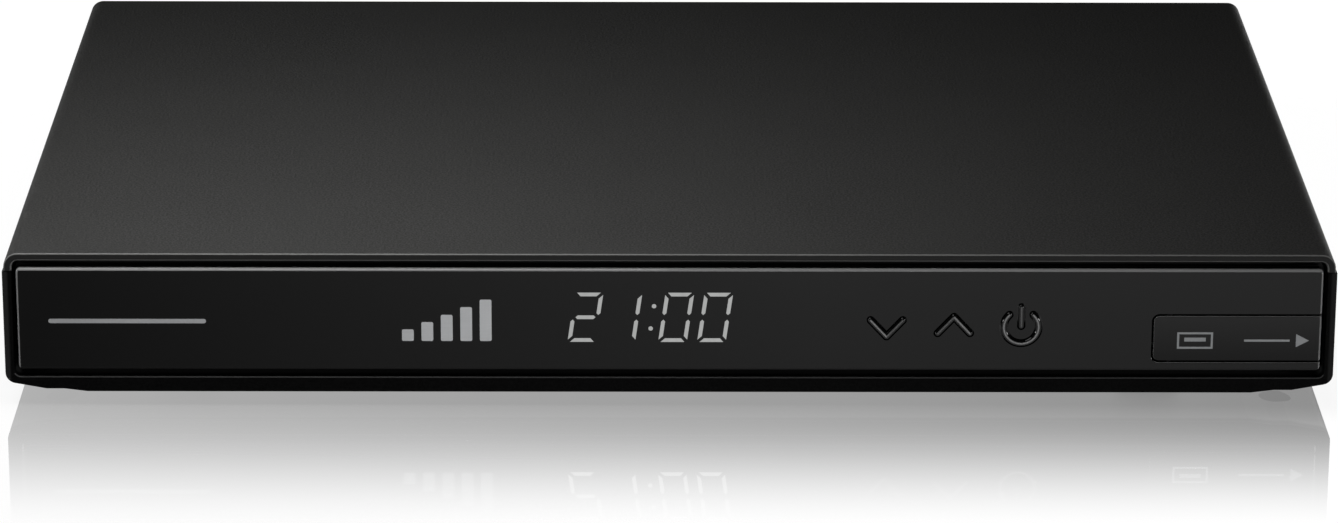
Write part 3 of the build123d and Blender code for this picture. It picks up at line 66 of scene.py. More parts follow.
CASE_LOW, CASE_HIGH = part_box("bottom_case")
PANEL_LOW, PANEL_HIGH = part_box("front_panel")
PANEL_FACE = PANEL_LOW.y
SEGMENTS_LOW, SEGMENTS_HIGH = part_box("display_segments")
DOOR_LOW, DOOR_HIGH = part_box("usb_door")
KEY_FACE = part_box("power_key")[0].y
KEY_COLOUR = (0.002, 0.002, 0.002)
KEY_LAMP = Vector((-0.10, -0.12, 0.218))


class Value:
    """A shader value: a node's output that takes part in Python sums, each adding a Math node."""

    def __init__(self, kit, socket):
        self.kit = kit
        self.socket = socket

    def math(self, operation, *terms):
        return self.kit.node("ShaderNodeMath", {"operation": operation}, dict(enumerate(terms)))

    def __add__(self, other):
        return self.math("ADD", self, other)

    def __sub__(self, other):
        return self.math("SUBTRACT", self, other)

    def __rsub__(self, other):
        return self.math("SUBTRACT", other, self)

    def __mul__(self, other):
        return self.math("MULTIPLY", self, other)

    def __gt__(self, other):
        return self.math("GREATER_THAN", self, other)

    def __lt__(self, other):
        return self.math("LESS_THAN", self, other)

    def __abs__(self):
        return self.math("ABSOLUTE", self)

    __radd__ = __add__
    __rmul__ = __mul__


class NodeKit:
    """Adds nodes to one node tree, and links or sets their sockets."""

    def __init__(self, tree):
        self.tree = tree

    def node(self, kind, settings=None, sockets=None, output=0):
        """Add a node: its settings first, then its sockets' values or links."""
        made = self.tree.nodes.new(kind)
        for key, setting in (settings or {}).items():
            setattr(made, key, setting)
        for key, value in (sockets or {}).items():
            self.feed(made.inputs[key], value)
        return Value(self, made.outputs[output])

    def feed(self, socket, value):
        """Link a value to a socket, or set a plain number or colour on it."""
        if isinstance(value, Value):
            self.tree.links.new(value.socket, socket)
        else:
            socket.default_value = value

    def blend(self, first, second, factor):
        """Mix of two colours by a factor."""
        return self.node("ShaderNodeMix", {"data_type": "RGBA"}, {0: factor, 6: first, 7: second}, 2)


class Finish(NodeKit):
    """One procedural finish on Object coordinates, ending in a Principled shader."""

    def __init__(self, name, **constants):
        self.material = bpy.data.materials.new(name)
        self.material.use_nodes = True
        super().__init__(self.material.node_tree)
        self.shader = self.tree.nodes["Principled BSDF"]
        self.place = self.node("ShaderNodeTexCoord", output="Object")
        for key, value in constants.items():
            self.wear(key.replace("_", " ").title().replace("Ior", "IOR"), value)

    def wear(self, socket, value):
        """Give the shader's named socket a value or a link."""
        self.feed(self.shader.inputs[socket], value)

    def stretched(self, scale):
        """Object coordinates stretched along the axes."""
        return self.node("ShaderNodeMapping", sockets={"Vector": self.place, "Scale": scale})

    def axis(self, index):
        """One of the X, Y and Z object coordinates."""
        return self.node("ShaderNodeSeparateXYZ", sockets={"Vector": self.place}, output=index)

    def noise(self, size, detail=2.0, place=None):
        """Soft noise from 0 to 1 with features about one size long, in metres."""
        sockets = {"Vector": place or self.place, "Scale": 1 / size, "Detail": detail}
        return self.node("ShaderNodeTexNoise", sockets=sockets)

    def relief(self, height, depth, strength=1.0):
        """Raise or sink the surface's normal by a height pattern of one depth, in metres."""
        sockets = {"Height": height, "Distance": depth, "Strength": strength}
        self.wear("Normal", self.node("ShaderNodeBump", sockets=sockets))

    def shades(self, colour, low, high, factor):
        """Mix of a colour at two scales by a factor."""
        return self.blend(rgba(colour, low), rgba(colour, high), factor)

    def dressed(self, colour, roughness, *relief):
        """Material with a colour, a roughness and a relief."""
        self.wear("Base Color", colour)
        self.wear("Roughness", roughness)
        self.relief(*relief)
        return self.material


def rgba(colour, scale=1.0):
    """Colour with full alpha, lightened or darkened by a scale."""
    return (*[min(1.0, c * scale) for c in colour], 1.0)


def moulded(
    name, colour, roughness, grain=0.3 * MM, depth=0.02 * MM, level=0.5, zones=(), satin=None
):
    """Moulded plastic: spark-eroded grain in relief, with a faint mottle of tone and gloss.

    Each zone pairs a mask, as a function of the node kit, with the scale of the colour there; on the
    cover and the case most zones are painted highlights or painted shade. Another mask may name what has
    a satin coat.
    """
    kit = Finish(name, specular_ior_level=level, coat_roughness=0.4)
    if satin:
        kit.wear("Coat Weight", satin(kit) * 0.5)
    fine = kit.noise(grain, 3.0)
    mottle = kit.noise(14 * MM, 3.0)
    tone = (fine - 0.5) * 8.0 + mottle * 0.3 + 0.35
    skin = kit.shades(colour, 0.7, 1.3, tone)
    for mask, scale in zones:
        skin = kit.blend(skin, rgba(colour, scale), mask(kit))
    return kit.dressed(skin, roughness - 0.08 + fine * 0.1 + mottle * 0.06, fine, depth)


def polished(name, colour, roughness, level=0.5, zones=(), matt=None):
    """Polished moulding: near-black, with slow flow ripples and fine wiping marks in the gloss.

    Each zone pairs a mask, as a function of the node kit, with the grey of a painted highlight or a
    painted reflection there. Another mask may name what is left matt.
    """
    kit = Finish(name, specular_ior_level=level)
    wiped = kit.noise(1.5 * MM, 4.0, kit.stretched((0.12, 1.0, 1.0)))
    flow = kit.noise(24 * MM, 1.0)
    skin = kit.shades(colour, 0.9, 1.1, flow)
    for mask, grey in zones:
        skin = kit.blend(skin, (grey, grey, grey, 1), mask(kit))
    dull = matt(kit) * 0.6 if matt else 0
    return kit.dressed(skin, roughness + wiped * 0.04 + dull, flow, 0.02 * MM, 0.4)


def painted(name, colour, roughness):
    """Powder-coated sheet: orange-peel relief with small darker pits."""
    kit = Finish(name)
    peel = kit.noise(0.55 * MM, 2.0)
    pits = kit.noise(0.2 * MM, 2.0)
    return kit.dressed(kit.shades(colour, 0.7, 1.3, pits), roughness + peel * 0.12, peel, 0.05 * MM)


def plated(name, colour, roughness, brush=(1.0, 1.0, 1.0), size=0.25 * MM):
    """Bare or plated metal: fine lines along one axis and patches of tarnish."""
    kit = Finish(name, metallic=1.0)
    lines = kit.noise(size, 3.0, kit.stretched(brush))
    tarnish = kit.noise(5 * MM, 3.0)
    skin = kit.shades(colour, 0.78, 1.08, lines * 0.5 + tarnish * 0.5)
    return kit.dressed(skin, roughness - 0.08 + lines * 0.12 + tarnish * 0.1, lines, 0.01 * MM, 0.6)


def rubbery(name, colour):
    """Matt rubber: fine speckle, dusty lighter patches and no clear gloss."""
    kit = Finish(name, specular_ior_level=0.25)
    speckle = kit.noise(0.25 * MM, 3.0)
    dust = kit.noise(4 * MM, 4.0)
    skin = kit.shades(colour, 0.8, 1.9, dust * speckle)
    return kit.dressed(skin, 0.72 + speckle * 0.2, speckle, 0.03 * MM)


def laminate(name, colour):
    """Circuit board: solder mask over a maze of copper tracks, with tinned round pads."""
    kit = Finish(name)
    tracks = kit.node(
        "ShaderNodeTexBrick",
        {"offset": 0.37, "squash": 0.6, "squash_frequency": 3},
        {"Vector": kit.place, "Scale": 160.0, "Mortar Size": 0.06, "Mortar Smooth": 0.1},
        1,
    )
    pads = kit.node("ShaderNodeTexVoronoi", {}, {"Vector": kit.place, "Scale": 260.0}) < 0.16
    mask = kit.shades(colour, 0.8, 1.7, tracks)
    kit.wear("Base Color", kit.blend(mask, (0.6, 0.6, 0.58, 1), pads))
    kit.wear("Metallic", pads * 0.9)
    kit.wear("Roughness", 0.3 + tracks * 0.12)
    kit.relief(tracks + pads, 0.04 * MM)
    return kit.material


def striped(name, colour, dark, period):
    """Film with parallel conductors that show through as stripes across X."""
    kit = Finish(name)
    stripes = kit.node("ShaderNodeMath", {"operation": "PINGPONG"}, {0: kit.axis("X"), 1: period / 2})
    line = stripes > period / 4
    skin = kit.blend(rgba(colour), rgba(dark), line * 0.7)
    return kit.dressed(skin, 0.28 + line * 0.15, line, 0.03 * MM)


def cross_headed(name, colour, x, y_first, y_second):
    """Plated screws whose heads have a cross recess at four mirrored places in the XY plane, painted near
    black as shade.
    """
    kit = Finish(name, metallic=1.0)
    across = abs(abs(kit.axis("X")) - x)
    along = abs(abs(kit.axis("Y") - (y_first + y_second) / 2) - (y_second - y_first) / 2)
    slots = (across < 0.42 * MM) * (along < 1.7 * MM) + (across < 1.7 * MM) * (along < 0.42 * MM)
    recess = kit.node("ShaderNodeClamp", sockets={"Value": slots})
    turned = kit.noise(0.3 * MM, 3.0)
    plate = kit.shades(colour, 0.75, 1.1, turned)
    # The cross recess is painted near black as the shade in its hollow.
    skin = kit.blend(plate, (0.01, 0.01, 0.01, 1), recess)
    return kit.dressed(skin, 0.28 + turned * 0.15 + recess * 0.4, 1 - recess, 0.4 * MM)


def lamp_lens(name, left, right, split):
    """Two small lamp lenses, one colour each side of a plane across X, with a cloudy core."""
    kit = Finish(name, coat_weight=0.4)
    cloud = kit.noise(0.9 * MM, 2.0)
    tint = kit.blend(rgba(left), rgba(right), kit.axis("X") > split)
    kit.wear("Base Color", kit.blend(tint, (0.8, 0.8, 0.75, 1), cloud * 0.35))
    kit.wear("Roughness", 0.2 + cloud * 0.15)
    return kit.material


def printed(name, colour):
    """Thin printed ink: even colour with the faint tooth of a screen print."""
    kit = Finish(name, specular_ior_level=0.4)
    tooth = kit.noise(0.12 * MM, 2.0)
    return kit.dressed(kit.shades(colour, 0.85, 1.1, tooth), 0.4 + tooth * 0.15, tooth, 0.004 * MM)


def glowing(name, colour):
    """Lit diffuser: light that is a little uneven from the die behind each bar."""
    kit = Finish(name, base_color=(0.02, 0.02, 0.02, 1), roughness=0.12, emission_strength=1.0)
    cells = kit.noise(1.1 * MM, 1.0)
    kit.wear("Emission Color", kit.shades(colour, 0.86, 1.08, cells))
    return kit.material


def add_piece(name, points, faces, material, body, slot, smooth_angle=None):
    """Make a mesh piece that rides on a body and takes the material it is given; the material slot is not
    used.
    """
    mesh = bpy.data.meshes.new(name)
    mesh.from_pydata(points.reshape(-1, 3).tolist(), [], faces)
    mesh.validate()
    shape = bmesh.new()
    shape.from_mesh(mesh)
    bmesh.ops.remove_doubles(shape, verts=shape.verts, dist=0.0001 * MM)
    shape.to_mesh(mesh)
    shape.free()
    if smooth_angle is not None:
        mesh.shade_smooth()
        mesh.set_sharp_from_angle(angle=math.radians(smooth_angle))
    mesh.materials.append(material)
    piece = bpy.data.objects.new(name, mesh)
    bpy.context.scene.collection.objects.link(piece)
    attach(piece, body)
    return piece


def prisms(outlines, y_front, y_back):
    """Outlines carried straight back: a point (u, v) becomes (u, y, v) at y_front and at y_back.

    The outlines are an array of n shapes of k points, counter-clockwise as seen from the front.
    """
    count, corners = outlines.shape[:2]
    depths = np.array([y_front, y_back])
    points = np.empty((count, 2, corners, 3))
    points[..., 0] = outlines[:, None, :, 0]
    points[..., 1] = depths[None, :, None]
    points[..., 2] = outlines[:, None, :, 1]
    first = np.arange(count)[:, None] * 2 * corners
    ring = first + np.arange(corners)
    onward = first + np.roll(np.arange(corners), -1)
    sides = np.stack([ring, ring + corners, onward + corners, onward], -1).reshape(-1, 4)
    return points, ring.tolist() + (ring[:, ::-1] + corners).tolist() + sides.tolist()


def boxes(low, high):
    """Upright outlines of rectangles from their low and high corners, as arrays of (x, z)."""
    low, high = np.atleast_2d(low), np.atleast_2d(high)
    return np.stack(
        [low, np.stack([high[:, 0], low[:, 1]], -1), high, np.stack([low[:, 0], high[:, 1]], -1)], 1
    )


def ring_walls(rows, loop):
    """Quads between each ring of points and the next, for rows of rings with loop points each."""
    ring = np.arange(loop)
    onward = np.roll(ring, -1)
    first = np.arange(rows - 1)[:, None] * loop
    walls = np.stack([first + ring, first + onward, first + onward + loop, first + ring + loop], -1)
    return walls.reshape(-1, 4)


def lathed(centre_x, centre_z, depths, radii, turns=64):
    """Surface of turning about a line along Y: (x + r sin a, y, z + r cos a) over depth and angle.

    Radii may be one per depth, or a grid over depth and angle; both ends close on the axis.
    """
    angles = np.arange(turns) * 2 * np.pi / turns
    radii = np.broadcast_to(np.asarray(radii).reshape(len(depths), -1), (len(depths), turns))
    points = np.empty((len(depths), turns, 3))
    points[..., 0] = centre_x + radii * np.sin(angles)
    points[..., 1] = np.asarray(depths)[:, None]
    points[..., 2] = centre_z + radii * np.cos(angles)
    ends = [[centre_x, depths[0], centre_z], [centre_x, depths[-1], centre_z]]
    ring = np.arange(turns)
    onward = np.roll(ring, -1)
    last = (len(depths) - 1) * turns
    low_pole = np.full(turns, len(depths) * turns)
    low_fan = np.stack([low_pole, onward, ring], -1)
    high_fan = np.stack([low_pole + 1, last + ring, last + onward], -1)
    faces = ring_walls(len(depths), turns).tolist() + low_fan.tolist() + high_fan.tolist()
    return np.concatenate([points.reshape(-1, 3), ends]), faces


def bar(half, stroke, start=0, end=0):
    """Outline of a bar along u: a hexagon with its points at (-half, 0) and (half, 0).

    At either end, the side that the end's sign names reaches out by half a stroke; the rest stays in.
    """
    u = np.array([-1, -1, 1, 1, 1, -1])
    v = np.array([0, -1, -1, 0, 1, 1])
    out = np.array([start, start, end, end, end, start])
    shift = np.where(v == 0, 0, np.where(v == out, 1, -1))
    return np.stack([u * (half + shift * stroke / 2), v * stroke / 2], -1)


def seven_segments(reading, sizes):
    """Outlines of the lit bars of a reading.

    A bar lies along X, or is turned a quarter, (u, v) -> (-v, u), to lie along Z; all points then lean
    by (u, v) -> (u + v tan slant, v).
    """
    stroke, gap = sizes.stroke, sizes.gap
    reach_x = (sizes.digit_width - stroke) / 2
    reach_z = (sizes.digit_height - stroke) / 2
    level, upright = reach_x - gap, reach_z / 2 - gap
    turn = np.array([[0, 1], [-1, 0]])
    shapes = {
        "a": bar(level, stroke, 1, 1) + [0, reach_z],
        "g": bar(level, stroke),
        "d": bar(level, stroke, -1, -1) + [0, -reach_z],
        "f": bar(upright, stroke, 0, 1) @ turn + [-reach_x, reach_z / 2],
        "b": bar(upright, stroke, 0, -1) @ turn + [reach_x, reach_z / 2],
        "e": bar(upright, stroke, 1, 0) @ turn + [-reach_x, -reach_z / 2],
        "c": bar(upright, stroke, -1, 0) @ turn + [reach_x, -reach_z / 2],
    }
    lit = {
        "0": "abcdef", "1": "bc", "2": "abged", "3": "abgcd", "4": "fgbc",
        "5": "afgcd", "6": "afgedc", "7": "abc", "8": "abcdefg", "9": "abcdfg", " ": "",
    }
    centres = [
        pair * sizes.pair_pitch / 2 + side * sizes.digit_pitch / 2 for pair in (-1, 1) for side in (-1, 1)
    ]
    digits = reading.replace(":", "")
    bars = np.array(
        [shapes[bar] + [centre, 0] for digit, centre in zip(digits, centres) for bar in lit[digit]]
    )
    leaning = np.array([[1.0, 0.0], [math.tan(sizes.slant), 1.0]])
    lean_at = np.array([[c, 0.0] for digit, c in zip(digits, centres) for bar in lit[digit]])[:, None]
    return (bars - lean_at) @ leaning + lean_at


def bead(path, crown, radius, y_base):
    """Rounded bead on a path (x, z) at a depth: path + d n, with n turning about both ends.

    The profile goes from the middle of the base to its edge, up a quarter circle of the radius, with
    d = crown + r cos b and height r sin b, and over the flat crown back to the middle.
    """
    turns = 13
    ahead = np.gradient(path, axis=0)
    ahead /= np.linalg.norm(ahead, axis=1, keepdims=True)
    aside = np.stack([-ahead[:, 1], ahead[:, 0]], -1)
    swing = np.linspace(np.pi / 2, -np.pi / 2, turns)[1:-1, None]
    end = np.cos(swing) * ahead[-1] + np.sin(swing) * aside[-1]
    start = -np.cos(swing) * ahead[0] - np.sin(swing) * aside[0]
    normals = np.concatenate([aside, end, -aside[::-1], start])
    stays = np.ones((turns - 2, 1))
    centres = np.concatenate([path, stays * path[-1], path[::-1], stays * path[0]])
    rise = np.linspace(0, np.pi / 2, 9)
    offsets = np.concatenate([[0.0], crown + radius * np.cos(rise), [0.0]])
    heights = np.concatenate([[0.0], radius * np.sin(rise), [1.03 * radius]])
    flat = centres[None] + offsets[:, None, None] * normals[None]
    rows, loop = flat.shape[:2]
    points = np.stack(
        [flat[..., 0], np.broadcast_to(y_base - heights[:, None], (rows, loop)), flat[..., 1]], -1
    )
    return points.reshape(-1, 3), ring_walls(rows, loop)


def discs(places, radius, corners=24):
    """Upright outlines of round discs: centre plus (r cos a, r sin a)."""
    angles = np.arange(corners) * 2 * np.pi / corners
    rim = np.stack([np.cos(angles), np.sin(angles)], -1) * radius
    return np.asarray(places, float)[:, None] + rim


def rounded(low, high, radius, steps=5):
    """Upright outlines of rectangles with round corners: corner centre plus (r cos a, r sin a)."""
    low, high = np.atleast_2d(low) + radius, np.atleast_2d(high) - radius
    angles = (np.arange(4)[:, None] + np.linspace(0, 1, steps)) * np.pi / 2
    arcs = np.stack([np.cos(angles), np.sin(angles)], -1) * radius
    right, left = high[:, 0], low[:, 0]
    over, under = high[:, 1], low[:, 1]
    corners = np.stack(
        [np.stack([right, over], -1), np.stack([left, over], -1),
         np.stack([left, under], -1), np.stack([right, under], -1)], 1
    )
    return (corners[:, :, None] + arcs).reshape(len(low), -1, 2)


def number(name, description, default, **kind):
    """Setting for a number of a kind."""
    return FloatProperty(name=name, description=description, default=default, **kind)


def length(name, description, default):
    """Setting for a length, with its default in millimetres."""
    return number(name, description, default * MM, unit="LENGTH", precision=6)


def tint(name, description, default):
    """Setting for a colour."""
    return FloatVectorProperty(name=name, description=description, default=default, subtype="COLOR")


class ReceiverClock(bpy.types.PropertyGroup):
    """Sizes and light of the lit clock."""

    reading: StringProperty(name="Reading", description="Four digits, with a colon", default="21:00")
    digit_height: length("Digit height", "Height of a digit", 10.16)
    digit_width: length("Digit width", "Width of a digit", 5.6)
    stroke: length("Stroke", "Width of a lit bar", 0.76)
    gap: length("Gap", "Room at each end of a bar", 0.48)
    slant: number("Slant", "Lean of the digits", math.radians(8), subtype="ANGLE")
    digit_pitch: length("Digit pitch", "Between the digits of a pair", 7.6)
    pair_pitch: length("Pair pitch", "Between the two pairs", 17.7)
    colon_spread: length("Colon spread", "Between the colon's dots", 4.6)
    colon_radius: length("Colon radius", "Radius of a colon dot", 0.44)
    colon_shift: length("Colon shift", "Colon to the right of the middle", 0.4)
    light: tint("Light", "Colour of the lit bars", (0.36, 0.365, 0.36))


class ReceiverMarks(bpy.types.PropertyGroup):
    """Sizes and ink of the plain marks on the front."""

    film: length("Ink height", "How far a mark stands proud", 0.03)
    ink: tint("Ink", "Colour of the printed marks", (0.36, 0.37, 0.38))
    inlay: tint("Inlay", "Colour of the metal inlays", (0.62, 0.63, 0.64))


class ReceiverKeys(bpy.types.PropertyGroup):
    """Sizes of the raised strokes on the keys."""

    crown: length("Crown", "Half width of a stroke's flat crown", 0.135)
    edge_radius: length("Edge radius", "Radius of a stroke's edges", 0.43)
    film: length("Film", "How far the strokes stand over the keys", 0.03)
    arrow_half: length("Arrow half width", "Half of an arrow's width", 3.15)
    arrow_height: length("Arrow height", "Height of an arrow", 3.4)
    arrow_shift: length("Arrow shift", "Arrow's shift to its point", 0.35)
    ring_radius: length("Ring radius", "Radius of the power ring", 3.4)
    ring_opening: number("Ring opening", "Open angle of the ring", math.radians(86), subtype="ANGLE")
    bar_run: length("Bar run", "Length of the power bar's middle line", 3.9)
    bar_shift: length("Bar shift", "Power bar's shift upwards", 2.1)


class ReceiverFinishes(bpy.types.PropertyGroup):
    """Colours of the main finishes."""

    cover: tint("Cover", "Top cover's satin plastic", (0.044, 0.044, 0.043))
    # The case colour is near black as painted shade on the front rim; the walls behind it take seven times
    # this colour.
    case: tint("Case", "Lower case's plastic", (0.003, 0.003, 0.003))
    front: tint("Front", "Gloss front and door", (0.001, 0.001, 0.001))
    plate: tint("Rear plate", "Painted rear plate", (0.012, 0.012, 0.013))
    nickel: tint("Nickel", "Plated sockets", (0.62, 0.6, 0.56))
    gold: tint("Gold", "Plated contacts", (0.8, 0.55, 0.2))


class ReceiverRear(bpy.types.PropertyGroup):
    """Sizes of the rear details."""

    thread_pitch: length("Thread pitch", "Aerial thread's pitch", 0.794)
    thread_depth: length("Thread depth", "Aerial thread's depth", 0.4)
    contact_height: length("Contact height", "Contact strips' height", 0.1)


class ReceiverStage(bpy.types.PropertyGroup):
    """Floor, lamps and camera."""

    floor: tint("Floor", "Colour of the floor", (0.15, 0.15, 0.15))
    backdrop: number("Backdrop", "White that the camera sees in the floor", 1.0, subtype="FACTOR")
    sheen: number("Sheen", "Share of mirror in the floor next to the case", 0.62, subtype="FACTOR")
    key: number("Key lamp", "Power of the soft box above the front", 0.585, unit="POWER")
    side: number("Side lamps", "Power of the left one; the right is stronger", 2.5, unit="POWER")
    fill: number("Fill lamps", "Power of each soft box behind", 5.0, unit="POWER")
    lens: number("Lens", "Camera lens in millimetres", 145.27, subtype="DISTANCE_CAMERA")


def step(kit, value, start, end):
    """Ramp of a value from 0 at start to 1 at end."""
    return kit.node("ShaderNodeMapRange", {}, {"Value": value, "From Min": start, "From Max": end})


# Limits of the finish zones, most of them painted highlights and shades, in millimetres from the edge or
# the face that each follows
SOFT_LIMIT = 0.03
COVER_FILLET = (0.05, 0.3)
COVER_LIP = (0.04, 0.01)
CHEEK_DEPTH = (0.2, 0.1)
CHEEK_ASIDE = (1.5, 1.9)
WALL_DEPTH = (1.5, 3.0)
SILL_LEVEL = 3.2
SILL_HALF = (0.5, 0.4)
SILL_DEPTH = (0.02, 0.3)
RIM_TOP = (-0.5, -0.4)
RIM_ENDS = (-0.4, -0.3)
RIM_DEPTH = (1.0, 0.8)
FOOT_TOP = (0.6, 0.5)
DOOR_EDGE_DEPTH = (0.02, 0.2)
SHOULDER_TOP = (-0.5, -0.4)
SHOULDER_LEFT = (0.5, 0.4)
SHOULDER_LEFT_SHARE = 0.6
LEDGE_DROP = 0.5
LEDGE_HALF = (0.5, 0.45)
LEDGE_START = (0.0, 0.5)
CREST_DEPTH = (-0.2, -0.05)
CREST_SOFT = 0.1
CREST_BAR_HALF = (0.8, 0.7)
CREST_BAR_FOOT = (-0.6, -0.4)
CREST_FAINT_SHARE = 0.6


def edge(kit, axis, place, start, end):
    """Ramp of a coordinate from 0 at start to 1 at end, both in millimetres from a place."""
    return step(kit, kit.axis(axis), place + start * MM, place + end * MM)


def depth_band(kit, front, start, end):
    """Mask of a band of depths behind a front, in millimetres, with soft limits: from start to end."""
    into = edge(kit, "Y", front, start, start + SOFT_LIMIT)
    return into * edge(kit, "Y", front, end + SOFT_LIMIT, end)


def either(first, second):
    """Mask of what one or both of two masks cover."""
    return 1 - (1 - first) * (1 - second)


def about(kit, axis, place, outer, inner):
    """Mask of a band about a place: 0 from outer on, 1 up to inner, both in millimetres."""
    return step(kit, abs(kit.axis(axis) - place), outer * MM, inner * MM)


def cover_edge_highlight(kit):
    """Mask of the top cover's front fillet, painted lighter as a highlight."""
    return depth_band(kit, CASE_LOW.y, *COVER_FILLET)


def cover_lip_shade(kit):
    """Mask of the top cover's flat front lip, painted darker as shade."""
    return edge(kit, "Y", CASE_LOW.y, *COVER_LIP)


def far_aside(kit, start, end):
    """Ramp of the distance from the middle plane, in millimetres from the panel's ends."""
    return step(kit, abs(kit.axis("X")), PANEL_HIGH.x + start * MM, PANEL_HIGH.x + end * MM)


def cheek_painted_light(kit):
    """Mask of the lower case's front end faces, left and right of the panel, painted lighter as light
    falling on them.
    """
    return edge(kit, "Y", CASE_LOW.y, *CHEEK_DEPTH) * far_aside(kit, *CHEEK_ASIDE)


def case_walls(kit):
    """Mask of the lower case's walls and underside, behind its front rim; the rim in front keeps the
    near-black case colour as painted shade.
    """
    return edge(kit, "Y", CASE_LOW.y, *WALL_DEPTH)


def sill_highlight(kit):
    """Mask of the rounded upper edge of the lower case's sill, painted lighter as a highlight."""
    level = about(kit, "Z", CASE_LOW.z + SILL_LEVEL * MM, *SILL_HALF)
    return depth_band(kit, CASE_LOW.y, *SILL_DEPTH) * level


def panel_rim_highlight(kit):
    """Mask of the front panel's rounded edge along its top and its two ends, painted grey as a highlight.
    """
    rim = either(edge(kit, "Z", PANEL_HIGH.z, *RIM_TOP), far_aside(kit, *RIM_ENDS))
    return rim * edge(kit, "Y", PANEL_FACE, *RIM_DEPTH)


def panel_foot(kit):
    """Mask of the front panel's rounded lower edge."""
    return edge(kit, "Z", PANEL_LOW.z, *FOOT_TOP)


def door_shoulder_highlight(kit):
    """Mask of the door's rounded edges that face up and, fainter, left, painted grey as a highlight."""
    up = edge(kit, "Z", DOOR_HIGH.z, *SHOULDER_TOP)
    left = edge(kit, "X", DOOR_LOW.x, *SHOULDER_LEFT)
    return depth_band(kit, PANEL_FACE, *DOOR_EDGE_DEPTH) * either(up, left * SHOULDER_LEFT_SHARE)


def door_ledge_highlight(kit):
    """Mask of the panel's rounded edge below the door, painted grey as a highlight."""
    under = about(kit, "Z", DOOR_LOW.z - LEDGE_DROP * MM, *LEDGE_HALF)
    along = edge(kit, "X", DOOR_LOW.x, *LEDGE_START)
    return depth_band(kit, PANEL_FACE, *DOOR_EDGE_DEPTH) * under * along


def door_sheen_ramp(kit):
    """Ramp from the door's lower edge to its upper edge, along which the door is painted lighter as a
    reflection.
    """
    return step(kit, kit.axis("Z"), DOOR_LOW.z, DOOR_HIGH.z)


def stroke_highlight(kit):
    """Mask of a painted highlight on a key stroke's crown, fainter between the arrows' middles and on the
    power bar.
    """
    keys = ("channel_down_key", "channel_up_key", "power_key")
    down, up, power = (sum(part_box(key), Vector()) / 2 for key in keys)
    half = (up.x - down.x) / 2 / MM
    faint = about(kit, "X", (down.x + up.x) / 2, half + CREST_SOFT, half - CREST_SOFT)
    bar = about(kit, "X", power.x, *CREST_BAR_HALF) * edge(kit, "Z", power.z, *CREST_BAR_FOOT)
    crown = depth_band(kit, KEY_FACE, *CREST_DEPTH)
    return crown * (1 - CREST_FAINT_SHARE * faint) * (1 - CREST_FAINT_SHARE * bar)


